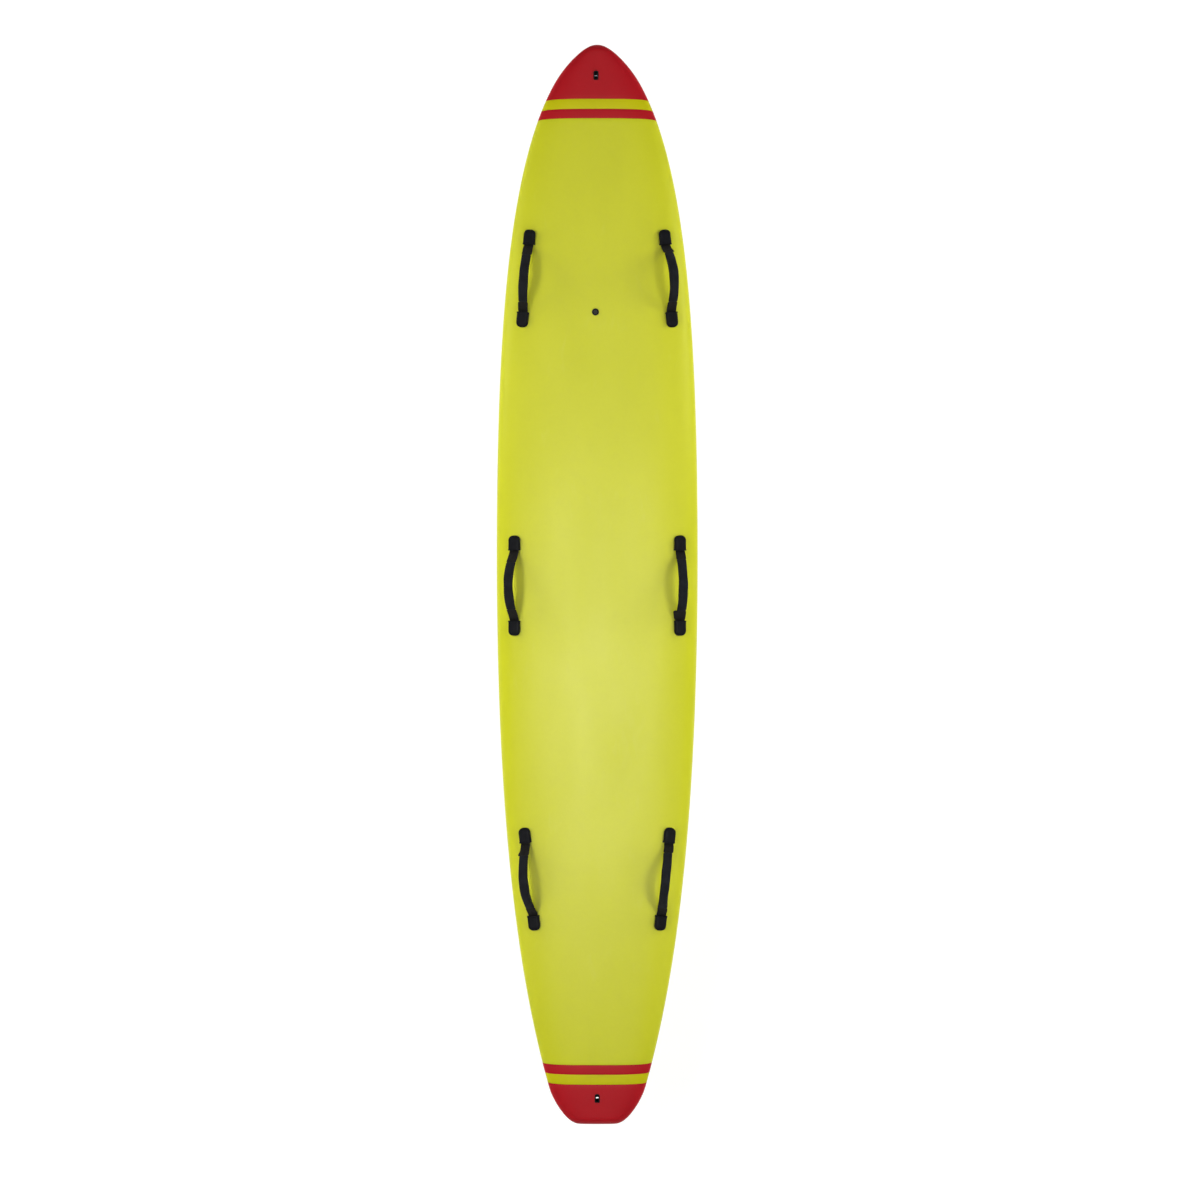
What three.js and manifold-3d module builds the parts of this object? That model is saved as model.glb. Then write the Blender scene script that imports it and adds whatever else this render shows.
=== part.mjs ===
// Soft-deck lifeguard rescue board with six rail handles, a vent plug, two tow fittings and a fin.
// Lengths are millimetres and angles are degrees. +Y points to the nose, +X to the right, +Z up.
// The origin lies on the flat of the hull's bottom, halfway along the board.

import * as THREE from 'three';
import { mergeVertices } from 'three/addons/utils/BufferGeometryUtils.js';
import Module from 'manifold-3d';

const wasm = await Module();
wasm.setup();

// Clearances
const gap = 0.3; // between neighbouring pieces
const cutOverrun = 5; // how far a cutting shape passes the face it cuts
const mergeDistance = 1e-5; // points nearer than this are one point

// Hull outline, seen from above: two curves from the nose to the widest place, two on to the tail
const boardLength = 3200;
const boardWidth = 602;
const widestFromMiddle = 100;
const noseTipReach = 33.5;
const noseShoulderHalfWidth = 129.6;
const noseShoulderSetback = 115.4;
const noseShoulderAngle = 29.8;
const noseShoulderTipReach = 73.6;
const noseShoulderSideReach = 293.8;
const noseMiddleReach = 600.2;
const tailEndHalfWidth = 50;
const tailCornerReach = 43.7;
const tailShoulderHalfWidth = 143.2;
const tailShoulderSetback = 106.7;
const tailShoulderAngle = 16;
const tailShoulderTipReach = 28.5;
const tailShoulderSideReach = 356.7;
const tailMiddleReach = 772.2;

// Hull profile, seen from the side
const boardThickness = 146;
const noseTipThickness = 42;
const tailTipThickness = 48;
const noseFoilPower = 2.6;
const tailFoilPower = 2.4;
const noseRocker = 140;
const tailRocker = 55;
const noseRockerPower = 2.3;
const tailRockerPower = 2;
const flatHalfRun = 310;
const endRounding = 25;

// Hull section, seen along the board: a crowned deck over a flat bottom with round rails
const seamHeightShare = 0.44;
const crownWidthPower = 3.2;
const crownHeightPower = 2.8;
const bellyFlatShare = 0.62;
const bellyPower = 2.2;

// Layers of the hull
const padThickness = 5;
const deckShellThickness = 2;
const bottomShellThickness = 2.5;
const stringerThickness = 5;

// Deck pads, measured from the nose tip and from the tail end to each joint
const nosePanelEnd = 161;
const noseBandEnd = 190;
const noseStripeEnd = 217;
const tailPanelEnd = 126;
const tailBandEnd = 156;
const tailStripeEnd = 185;

// Where the stations and columns of the hull's faces lie
const noseTipShares = [0, 0.12, 0.3, 0.52, 0.75];
const sideShares = [0, 1 / 6, 2 / 6, 3 / 6, 4 / 6, 5 / 6];
const tailCornerShares = [0, 0.3, 0.55, 0.75, 0.9, 1];
const columnShares = [0, 0.4, 0.66, 0.82, 0.92, 0.975, 1];

// Handles: the place of each pair along the board, and of each end in from the rail
const frontHandleFromNose = 682.5;
const frontHandleSpan = 287;
const frontForeInset = 55.5;
const frontAftInset = 60;
const midHandleMiddle = 9.5;
const midHandleSpan = 297;
const midForeInset = 56.5;
const midAftInset = 54.5;
const rearHandleFromTail = 739.5;
const rearHandleSpan = 305;
const rearForeInset = 56.5;
const rearAftInset = 56;

// Handle webbing
const strapWidth = 28;
const strapGatheredWidth = 22;
const strapThickness = 3;
const archHeight = 60;
const archFootReach = 20;
const archTopReach = 60;
const bendLead = 5;
const bareStrapRun = 28;
const hingeHeight = 3;

// Handle sleeve
const sleeveMiddleWidth = 26.5;
const sleeveMiddleThickness = 19;
const sleeveEndWidth = 29;
const sleeveEndThickness = 9;
const sleeveCornerWidthShare = 0.72;
const sleeveCornerHeightShare = 0.45;
const sleeveSwellShare = 0.5;
const sleeveSectionShares = [0, 0.25, 0.5, 0.75, 1];

// Handle end caps, and the screw under each
const tabLength = 29;
const tabHoleSetback = 12;
const capDomeRun = 16;
const capWall = 2.5;
const capHeadroom = 3.8;
const capLipLength = 4;
const capLipProud = 1;
const capSeatDepth = 8;
const capSectionPower = 4.5;
const capSectionAngles = [0, 10, 45, 90, 135, 170, 180];
const capDomePower = 2.4;
const capDomeShares = [0, 0.5, 0.82, 0.985];
const screwHeadDiameter = 12;
const screwHeadThickness = 3;
const screwShankDiameter = 6;
const screwEngagement = 20;
const screwSides = 8;
const bossDiameter = 18;
const bossLength = 28;

// Vent plug
const ventOffset = -5;
const ventFromNose = 783;
const ventFlangeDiameter = 21;
const ventFlangeThickness = 1.5;
const ventBarrelDiameter = 15;
const ventBarrelLength = 22;
const ventHeadDiameter = 12;
const ventHeadThickness = 2.4;
const ventShankDiameter = 8.4;
const ventShankLength = 13;
const ventRingThickness = 1.4;
const ventAirHoleDiameter = 3;
const ventFloorThickness = 4;
const ventSlotWidth = 1.8;
const ventSlotDepth = 1.2;
const ventSides = 14;

// Tow fittings
const noseFittingOffset = -3.5;
const noseFittingSetback = 94;
const tailFittingSetback = 85;
const fittingWidth = 14;
const fittingLength = 26;
const fittingCorner = 4;
const fittingFlangeThickness = 1.2;
const fittingFlangeProud = 1;
const fittingWall = 1.8;
const fittingDepth = 22;
const fittingFloorThickness = 2;
const fittingPinDiameter = 5;
const fittingPinDepth = 6;
const fittingPinSides = 12;
const plateCornerSteps = 2;

// Fin box, seen in the slope of the hull's bottom at its middle
const finBoxFromTail = 380;
const finBoxWall = 8.5;
const finBoxEndRoom = 6;
const finBoxDepth = 30;
const finBoxRoofThickness = 8;
const finBoxCornerShare = 0.25;
const finLipHeight = 9.4;
const finChannelWidth = 15;

// Fin, its screw and its sliding plate
const finTabThickness = 9;
const finTabLength = 190;
const finTabHeight = 20;
const finLedgeLength = 26;
const finLedgeThickness = 5.4;
const finBladeBase = 160;
const finBladeDepth = 165;
const finTipThicknessShare = 0.42;
const finTravel = 25;
const finDepthShares = [0, 0.22, 0.45, 0.68, 0.86, 0.96, 1];
const finLeadingShares = [1, 0.74, 0.42, 0.04, -0.32, -0.58, -0.8];
const finTrailingShares = [-1, -0.9, -0.88, -0.95, -1.06, -1.12, -1.08];
const finSectionShares = [
  [0, 0],
  [0.14, 0.36],
  [0.36, 0.5],
  [0.7, 0.3],
  [1, 0.05],
];
const finScrewDiameter = 4;
const finScrewHeadDiameter = 7.6;
const finScrewHeadThickness = 2.4;
const finScrewSlotWidth = 1.2;
const finScrewSetback = 14;
const finScrewSides = 12;
const finPlateLength = 13;
const finPlateThickness = 3;
const finPlateLift = 0.7;

// The three pairs of handles, with how far each leans outward from square to the deck, in degrees
const handleRows = [
  {
    name: 'front',
    middle: boardLength / 2 - frontHandleFromNose,
    span: frontHandleSpan,
    foreInset: frontForeInset,
    aftInset: frontAftInset,
    leans: { left: -9, right: 1 },
  },
  {
    name: 'mid',
    middle: midHandleMiddle,
    span: midHandleSpan,
    foreInset: midForeInset,
    aftInset: midAftInset,
    leans: { left: -1, right: -10 },
  },
  {
    name: 'rear',
    middle: rearHandleFromTail - boardLength / 2,
    span: rearHandleSpan,
    foreInset: rearForeInset,
    aftInset: rearAftInset,
    leans: { left: 1.5, right: -15.5 },
  },
];

// Finishes
const finishes = {
  limeFoam: { color: 0xd2d458, roughness: 0.85, metalness: 0 },
  yellowFoam: { color: 0xc4c428, roughness: 0.85, metalness: 0 },
  redFoam: { color: 0xa81c2a, roughness: 0.85, metalness: 0 },
  limeSkin: { color: 0xd8da40, roughness: 0.25, metalness: 0 },
  laminate: { color: 0xd9d6c4, roughness: 0.4, metalness: 0 },
  polystyrene: { color: 0xf4f4f0, roughness: 0.9, metalness: 0 },
  plywood: { color: 0xb08b5a, roughness: 0.7, metalness: 0 },
  webbing: { color: 0x1c1b1c, roughness: 0.85, metalness: 0 },
  neoprene: { color: 0x191a20, roughness: 0.7, metalness: 0 },
  blackPlastic: { color: 0x141417, roughness: 0.45, metalness: 0 },
  stainless: { color: 0xb9bcc0, roughness: 0.3, metalness: 1 },
  brass: { color: 0xb58a3c, roughness: 0.35, metalness: 1 },
  rubber: { color: 0x111111, roughness: 0.9, metalness: 0 },
  flexUrethane: { color: 0x202226, roughness: 0.5, metalness: 0 },
};

const halfLength = boardLength / 2;
const halfWidth = boardWidth / 2;
const deckSkin = padThickness + gap;
const board = new THREE.Group();
board.name = 'rescue_board';

// Solids

// Merges the shared points of a closed geometry, and makes a solid of it that faces outwards.
function solidFrom(geometry) {
  const bare = geometry.clone();
  bare.deleteAttribute('normal');
  bare.deleteAttribute('uv');
  const merged = mergeVertices(bare, mergeDistance);
  const points = merged.attributes.position.array;
  const corners = [];
  let volume = 0;
  const [a, b, c] = [new THREE.Vector3(), new THREE.Vector3(), new THREE.Vector3()];
  for (let i = 0; i < merged.index.count; i += 3) {
    const [p, q, r] = [0, 1, 2].map((k) => merged.index.getX(i + k));
    if (p === q || q === r || r === p) continue;
    corners.push(p, q, r);
    a.fromArray(points, 3 * p);
    b.fromArray(points, 3 * q);
    c.fromArray(points, 3 * r);
    volume += a.dot(b.cross(c));
  }
  if (volume < 0) corners.reverse();
  return new wasm.Manifold(
    new wasm.Mesh({
      numProp: 3,
      vertProperties: new Float32Array(points),
      triVerts: new Uint32Array(corners),
    }),
  );
}

function geometryFrom(points, corners) {
  const geometry = new THREE.BufferGeometry();
  const coordinates = points.flatMap((p) => p.toArray());
  geometry.setAttribute('position', new THREE.Float32BufferAttribute(coordinates, 3));
  geometry.setIndex(corners);
  return geometry;
}

// Joins rings of equally many points, one after the other, and closes both ends.
function loft(rings) {
  const count = rings[0].length;
  const points = rings.flat();
  const corners = [];
  for (let i = 0; i + 1 < rings.length; i += 1) {
    for (let j = 0; j < count; j += 1) {
      const next = (j + 1) % count;
      const [p, q] = [i * count + j, i * count + next];
      corners.push(p, q, q + count, p, q + count, p + count);
    }
  }
  const last = (rings.length - 1) * count;
  for (let j = 1; j + 1 < count; j += 1) {
    corners.push(0, j + 1, j, last, last + j, last + j + 1);
  }
  return solidFrom(geometryFrom(points, corners));
}

function block(minimum, maximum) {
  const size = maximum.map((value, axis) => value - minimum[axis]);
  const geometry = new THREE.BoxGeometry(...size);
  geometry.translate(...maximum.map((value, axis) => (value + minimum[axis]) / 2));
  return solidFrom(geometry);
}

// A turned shape about Z, from a profile of [radius, height] pairs.
function turned(profile, sides) {
  const outline = profile.map(([radius, height]) => new THREE.Vector2(radius, height));
  const geometry = new THREE.LatheGeometry(outline, sides);
  geometry.rotateX(Math.PI / 2);
  return solidFrom(geometry);
}

function rod(diameter, bottom, top, sides) {
  const radius = diameter / 2;
  return turned([[0, bottom], [radius, bottom], [radius, top], [0, top]], sides);
}

function roundedPlate(width, length, corner, bottom, top) {
  const [x, y] = [width / 2 - corner, length / 2 - corner];
  const outline = new THREE.Shape();
  outline.absarc(x, y, corner, 0, Math.PI / 2);
  outline.absarc(-x, y, corner, Math.PI / 2, Math.PI);
  outline.absarc(-x, -y, corner, Math.PI, 1.5 * Math.PI);
  outline.absarc(x, -y, corner, 1.5 * Math.PI, 2 * Math.PI);
  outline.closePath();
  const geometry = new THREE.ExtrudeGeometry(outline, {
    depth: top - bottom,
    bevelEnabled: false,
    curveSegments: plateCornerSteps,
  });
  geometry.translate(0, 0, bottom);
  return solidFrom(geometry);
}

function meshOf(name, solid, finish) {
  const { vertProperties, triVerts, numProp } = solid.getMesh();
  const geometry = new THREE.BufferGeometry();
  const points = [];
  for (let i = 0; i < vertProperties.length; i += numProp) {
    points.push(vertProperties[i], vertProperties[i + 1], vertProperties[i + 2]);
  }
  geometry.setAttribute('position', new THREE.Float32BufferAttribute(points, 3));
  geometry.setIndex([...triVerts]);
  geometry.computeVertexNormals();
  const material = new THREE.MeshStandardMaterial({ ...finish, flatShading: true });
  const mesh = new THREE.Mesh(geometry, material);
  mesh.name = name;
  return mesh;
}

// A solid given in the frame of a group, as it lies in the board's frame.
function inBoard(solid, place) {
  place.updateWorldMatrix(true, false);
  return solid.transform(place.matrixWorld.elements);
}

// A solid given in the board's frame, as it lies in the frame of a group.
function inPlace(solid, place) {
  place.updateWorldMatrix(true, false);
  return solid.transform(place.matrixWorld.clone().invert().elements);
}

// Hull surfaces

function smoothStep(share) {
  const t = Math.min(1, Math.max(0, share));
  return t * t * (3 - 2 * t);
}

const noseShoulder = new THREE.Vector2(noseShoulderHalfWidth, halfLength - noseShoulderSetback);
const tailShoulder = new THREE.Vector2(tailShoulderHalfWidth, tailShoulderSetback - halfLength);
const widest = new THREE.Vector2(halfWidth, widestFromMiddle);
const noseAngle = THREE.MathUtils.degToRad(noseShoulderAngle);
const tailAngle = THREE.MathUtils.degToRad(tailShoulderAngle);
const noseHeading = new THREE.Vector2(Math.sin(noseAngle), -Math.cos(noseAngle));
const tailHeading = new THREE.Vector2(Math.sin(tailAngle), Math.cos(tailAngle));

function ahead(point, heading, reach) {
  return point.clone().addScaledVector(heading, reach);
}

const outlineCurves = {
  noseTip: new THREE.CubicBezierCurve(
    new THREE.Vector2(0, halfLength),
    new THREE.Vector2(noseTipReach, halfLength),
    ahead(noseShoulder, noseHeading, -noseShoulderTipReach),
    noseShoulder,
  ),
  noseSide: new THREE.CubicBezierCurve(
    noseShoulder,
    ahead(noseShoulder, noseHeading, noseShoulderSideReach),
    new THREE.Vector2(halfWidth, widestFromMiddle + noseMiddleReach),
    widest,
  ),
  tailSide: new THREE.CubicBezierCurve(
    widest,
    new THREE.Vector2(halfWidth, widestFromMiddle - tailMiddleReach),
    ahead(tailShoulder, tailHeading, tailShoulderSideReach),
    tailShoulder,
  ),
  tailCorner: new THREE.CubicBezierCurve(
    tailShoulder,
    ahead(tailShoulder, tailHeading, -tailShoulderTipReach),
    new THREE.Vector2(tailEndHalfWidth + tailCornerReach, -halfLength),
    new THREE.Vector2(tailEndHalfWidth, -halfLength),
  ),
};

// Points of the right rail from the nose tip to the tail, each with its outward direction.
function railStations() {
  const plan = [
    [outlineCurves.noseTip, noseTipShares],
    [outlineCurves.noseSide, sideShares],
    [outlineCurves.tailSide, sideShares],
    [outlineCurves.tailCorner, tailCornerShares],
  ];
  return plan.flatMap(([curve, shares]) => shares.map((share) => {
    const along = curve.getTangent(share);
    return { point: curve.getPoint(share), outward: new THREE.Vector2(-along.y, along.x) };
  }));
}

const stations = railStations();
const columns = [...columnShares.slice(1).reverse().map((share) => -share), ...columnShares];

// The share along a curve from which on a condition holds.
function shareWhere(curve, holds) {
  let [low, high] = [0, 1];
  while (high - low > Number.EPSILON * 4) {
    const middle = (low + high) / 2;
    if (holds(curve.getPoint(middle))) high = middle;
    else low = middle;
  }
  return high;
}

function halfWidthAt(y) {
  const { noseTip, noseSide, tailSide, tailCorner } = outlineCurves;
  const curves = [noseTip, noseSide, tailSide, tailCorner];
  const curve = curves.find((candidate) => candidate.getPoint(1).y <= y) ?? outlineCurves.tailCorner;
  return curve.getPoint(shareWhere(curve, (at) => at.y <= y)).x;
}

function rockerAt(y) {
  const share = Math.max(0, Math.abs(y) - flatHalfRun) / (halfLength - flatHalfRun);
  return y > 0 ? noseRocker * share ** noseRockerPower : tailRocker * share ** tailRockerPower;
}

function thicknessAt(y) {
  const share = Math.abs(y) / halfLength;
  return y > 0
    ? boardThickness - (boardThickness - noseTipThickness) * share ** noseFoilPower
    : boardThickness - (boardThickness - tailTipThickness) * share ** tailFoilPower;
}

// The share of the height that is left near either end, where the board rounds off.
function endShare(y, depth) {
  const fromEnd = Math.max(0, halfLength - depth - Math.abs(y)) / (endRounding - depth);
  return fromEnd >= 1 ? 1 : Math.sqrt(1 - (1 - fromEnd) ** 2);
}

function crownShare(column) {
  return Math.max(0, 1 - Math.abs(column) ** crownWidthPower) ** (1 / crownHeightPower);
}

function bellyShare(column) {
  const past = Math.max(0, Math.abs(column) - bellyFlatShare) / (1 - bellyFlatShare);
  return Math.max(0, 1 - past ** bellyPower) ** (1 / bellyPower);
}

// A height on the deck or the bottom, a depth inside the skin, over a rim a drop under the seam.
function heightAt(side, y, column, depth, drop) {
  const thickness = thicknessAt(y);
  const rim = rockerAt(y) + seamHeightShare * thickness - drop;
  return side === 'deck'
    ? rim + ((1 - seamHeightShare) * thickness + drop - depth) * endShare(y, depth) * crownShare(column)
    : rim - (seamHeightShare * thickness - drop - depth) * endShare(y, depth) * bellyShare(column);
}

function surface(side, depth, drop) {
  return stations.map(({ point, outward }) => {
    const rim = ahead(point, outward, -depth);
    return columns.map((column) => new THREE.Vector3(
      rim.x * column,
      rim.y,
      heightAt(side, rim.y, column, depth, drop),
    ));
  });
}

// A closed form between two surfaces of the hull, with a strip round their rims.
function between(upper, lower) {
  const [rows, width] = [upper.length, upper[0].length];
  const points = [...upper.flat(), ...lower.flat()];
  const under = rows * width;
  const corners = [];
  for (let i = 0; i + 1 < rows; i += 1) {
    for (let j = 0; j + 1 < width; j += 1) {
      const [p, q] = [i * width + j, (i + 1) * width + j];
      const mirrored = 2 * j + 2 > width;
      const faces = mirrored ? [p, q, p + 1, p + 1, q, q + 1] : [p, q, q + 1, p, q + 1, p + 1];
      corners.push(...faces, ...faces.map((corner) => corner + under).reverse());
    }
  }
  const rim = [
    ...upper.map((_, i) => i * width),
    ...upper[0].map((_, j) => (rows - 1) * width + j).slice(1),
    ...upper.map((_, i) => i * width + width - 1).reverse().slice(1),
    ...upper[0].map((_, j) => j).reverse().slice(1),
  ];
  for (let i = 0; i + 1 < rim.length; i += 1) {
    const [p, q] = [rim[i], rim[i + 1]];
    corners.push(p, q + under, q, p, p + under, q + under);
  }
  return solidFrom(geometryFrom(points, corners));
}

// Frames on the deck and on the bottom

function skinPoint(side, x, y) {
  return new THREE.Vector3(x, y, heightAt(side, y, x / halfWidthAt(y), 0, 0));
}

// A group on the skin at x and y, with Z square to the skin and Y as near as can be to a heading.
function placeOn(side, x, y, heading) {
  const probe = boardThickness / 100;
  const acrossBoard = skinPoint(side, x + probe, y).sub(skinPoint(side, x - probe, y));
  const alongBoard = skinPoint(side, x, y + probe).sub(skinPoint(side, x, y - probe));
  const up = acrossBoard.cross(alongBoard).normalize();
  const forward = heading.clone().addScaledVector(up, -heading.dot(up)).normalize();
  const place = new THREE.Group();
  place.position.copy(skinPoint(side, x, y));
  place.quaternion.setFromRotationMatrix(
    new THREE.Matrix4().makeBasis(forward.clone().cross(up), forward, up),
  );
  return place;
}

const toNose = new THREE.Vector3(0, 1, 0);

// The skin of the whole board, pushed out by the gap: what sits on the board is cut back by it.
const swollenHull = between(surface('deck', -gap, 0), surface('bottom', -gap, 0));

// What the fittings take out of the layers, each in the board's frame
const cuts = { pads: [], deckShell: [], bottomShell: [], core: [] };
const bosses = [];

// Handles

// The webbing's path from one foot to the middle of the arch, as [along, height] pairs in its plane.
function archCurve(mouth) {
  const foot = gap + strapThickness / 2;
  return new THREE.CubicBezierCurve(
    new THREE.Vector2(mouth + bendLead, foot),
    new THREE.Vector2(mouth + bendLead - archFootReach, foot),
    new THREE.Vector2(archTopReach, archHeight),
    new THREE.Vector2(0, archHeight),
  );
}

// Sections along the whole arch. The lean sets in over the bare run of webbing.
function archSections(mouth, lean) {
  const curve = archCurve(mouth);
  const mouthShare = shareWhere(curve, (at) => at.x <= mouth);
  const sleeveStart = shareWhere(curve, (at) => at.x <= mouth - bareStrapRun);
  const bareShares = [0, mouthShare, (mouthShare + sleeveStart) / 2];
  const sleeveShares = sleeveSectionShares.map((share) => sleeveStart + (1 - sleeveStart) * share);
  const half = [...bareShares, ...sleeveShares].map((share) => {
    const at = curve.getPoint(share);
    const slope = curve.getTangent(share);
    return {
      along: at.x,
      height: at.y,
      slopeAlong: slope.x,
      slopeUp: slope.y,
      sleeved: share >= sleeveStart,
    };
  });
  const mirror = (at) => ({ ...at, along: -at.along, slopeUp: -at.slopeUp });
  const other = half.slice(0, -1).reverse().map(mirror);
  return [...half, ...other].map((at) => {
    const run = mouth - Math.abs(at.along);
    const twist = smoothStep(run / bareStrapRun);
    const angle = THREE.MathUtils.degToRad(lean) * twist;
    const rise = at.height - hingeHeight;
    const leaned = new THREE.Vector3(0, 0, 1).applyAxisAngle(toNose, angle);
    return {
      centre: leaned.clone().multiplyScalar(rise).add(new THREE.Vector3(0, at.along, hingeHeight)),
      across: new THREE.Vector3(1, 0, 0).applyAxisAngle(toNose, angle),
      up: new THREE.Vector3(0, at.slopeUp, 0).addScaledVector(leaned, -at.slopeAlong),
      tangent: new THREE.Vector3(0, at.slopeAlong, 0).addScaledVector(leaned, at.slopeUp),
      crest: 1 - Math.abs(at.along) / (mouth - bareStrapRun),
      gathered: twist,
      sleeved: at.sleeved,
    };
  });
}

function ringAt(section, outline) {
  return outline.map(([across, up]) => section.centre.clone()
    .addScaledVector(section.across, across)
    .addScaledVector(section.up, up));
}

function rectangle(width, thickness) {
  const [x, y] = [width / 2, thickness / 2];
  return [[x, -y], [x, y], [-x, y], [-x, -y]];
}

function sleeveOutline(width, thickness) {
  const [x, y] = [width / 2, thickness / 2];
  const [cornerX, cornerY] = [x * sleeveCornerWidthShare, y * sleeveCornerHeightShare];
  return [
    [x, -cornerY], [x, cornerY], [cornerX, y], [-cornerX, y],
    [-x, cornerY], [-x, -cornerY], [-cornerX, -y], [cornerX, -y],
  ];
}

function webbingWidth(section) {
  return THREE.MathUtils.lerp(strapWidth, strapGatheredWidth, section.gathered);
}

function strapSolid(mouth, lean, place) {
  const sections = archSections(mouth, lean);
  const tab = (section, sign) => ({
    ...section,
    centre: new THREE.Vector3(0, sign * (mouth + tabLength), section.centre.z),
  });
  const all = [tab(sections[0], 1), ...sections, tab(sections.at(-1), -1)];
  const rings = all.map((section) => ringAt(section, rectangle(webbingWidth(section), strapThickness)));
  const whole = loft(rings).subtract(inPlace(swollenHull, place));
  return [1, -1].reduce((solid, sign) => {
    const hole = rod(screwShankDiameter + 2 * gap, -cutOverrun, strapThickness + cutOverrun, screwSides);
    return solid.subtract(hole.translate([0, sign * (mouth + tabLength - tabHoleSetback), 0]));
  }, whole);
}

function sleeveSolid(mouth, lean) {
  const sections = archSections(mouth, lean).filter((section) => section.sleeved);
  const outer = sections.map((section) => {
    const bulge = smoothStep(section.crest / sleeveSwellShare);
    return ringAt(section, sleeveOutline(
      THREE.MathUtils.lerp(sleeveEndWidth, sleeveMiddleWidth, bulge),
      THREE.MathUtils.lerp(sleeveEndThickness, sleeveMiddleThickness, bulge),
    ));
  });
  const past = (section, reach) => ({
    ...section,
    centre: section.centre.clone().addScaledVector(section.tangent, reach),
  });
  const [first, last] = [sections[0], sections.at(-1)];
  const bored = [past(first, -cutOverrun), ...sections, past(last, cutOverrun)];
  const bore = bored.map((section) => ringAt(
    section,
    rectangle(webbingWidth(section) + 2 * gap, strapThickness + 2 * gap),
  ));
  return loft(outer).subtract(loft(bore));
}

// The cap's outside, or its hollow where an inset is given. Y runs from the mouth to the round end.
const capHeight = 3 * gap + strapThickness + screwHeadThickness + capHeadroom + capWall;
const capWidth = strapWidth + 2 * (gap + capWall);

function capForm(inset) {
  const ring = (y, grow, share) => {
    const fill = (1 - share ** capDomePower) ** (1 / capDomePower);
    const [x, height] = [(capWidth / 2 - inset + grow) * fill, (capHeight - inset + grow) * fill];
    const arch = capSectionAngles.map((degrees) => {
      const angle = THREE.MathUtils.degToRad(degrees);
      const power = 2 / capSectionPower;
      return new THREE.Vector3(
        x * Math.sign(Math.cos(angle)) * Math.abs(Math.cos(angle)) ** power,
        y,
        height * Math.abs(Math.sin(angle)) ** power,
      );
    });
    const foot = -capSeatDepth - inset;
    return [new THREE.Vector3(x, y, foot), ...arch, new THREE.Vector3(-x, y, foot)];
  };
  const dome = capDomeShares.map((share) => ring(tabLength + (capDomeRun - inset) * share, 0, share));
  const lip = [ring(0, capLipProud, 0), ring(capLipLength, capLipProud, 0)];
  return inset > 0
    ? [ring(-cutOverrun, 0, 0), ...dome]
    : [...lip, ring(capLipLength + gap, 0, 0), ...dome];
}

function capSolid(place) {
  return loft(capForm(0)).subtract(loft(capForm(capWall))).subtract(inPlace(swollenHull, place));
}

const screwSeat = 2 * gap + strapThickness;
const shankLength = screwSeat + padThickness + gap + screwEngagement;

function capScrewSolid() {
  const [head, shank] = [screwHeadDiameter / 2, screwShankDiameter / 2];
  return turned([
    [0, -shankLength],
    [shank, -shankLength],
    [shank, 0],
    [head, 0],
    [head, screwHeadThickness],
    [0, screwHeadThickness],
  ], screwSides);
}

function screwCuts(place) {
  const under = deckSkin + bossLength;
  const boreDiameter = screwShankDiameter + 2 * gap;
  const bore = inBoard(rod(boreDiameter, -under - cutOverrun, cutOverrun, screwSides), place);
  cuts.pads.push(bore);
  cuts.deckShell.push(bore);
  cuts.core.push(inBoard(rod(bossDiameter + 2 * gap, -under - gap, cutOverrun, screwSides), place));
  bosses.push(inBoard(rod(bossDiameter, -under, cutOverrun, screwSides), place));
}

function railPoint(y, inset, sign) {
  return skinPoint('deck', sign * (halfWidthAt(y) - inset), y);
}

function addHandle(row, sideName) {
  const sign = sideName === 'right' ? 1 : -1;
  const name = `${row.name}_${sideName}`;
  const fore = railPoint(row.middle + row.span / 2, row.foreInset, sign);
  const aft = railPoint(row.middle - row.span / 2, row.aftInset, sign);
  const middle = fore.clone().add(aft).divideScalar(2);
  const place = placeOn('deck', middle.x, middle.y, fore.clone().sub(aft));
  place.position.copy(middle);
  place.name = `${name}_handle`;
  board.add(place);
  const mouth = fore.distanceTo(aft) / 2 - tabLength - capDomeRun * capDomeShares.at(-1);
  const lean = sign * row.leans[sideName];
  place.add(meshOf(`${name}_strap`, strapSolid(mouth, lean, place), finishes.webbing));
  place.add(meshOf(`${name}_grip`, sleeveSolid(mouth, lean), finishes.neoprene));
  [['fore', 1], ['aft', -1]].forEach(([end, way]) => {
    const seat = new THREE.Group();
    seat.position.set(0, way * mouth, 0);
    seat.rotation.z = way > 0 ? 0 : Math.PI;
    place.add(seat);
    seat.add(meshOf(`${name}_cap_${end}`, capSolid(seat), finishes.blackPlastic));
    const screwPlace = new THREE.Group();
    screwPlace.position.set(0, tabLength - tabHoleSetback, screwSeat);
    seat.add(screwPlace);
    screwPlace.add(meshOf(`${name}_screw_${end}`, capScrewSolid(), finishes.stainless));
    const bore = new THREE.Group();
    bore.position.set(0, tabLength - tabHoleSetback, 0);
    seat.add(bore);
    screwCuts(bore);
  });
}

// Vent plug

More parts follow.
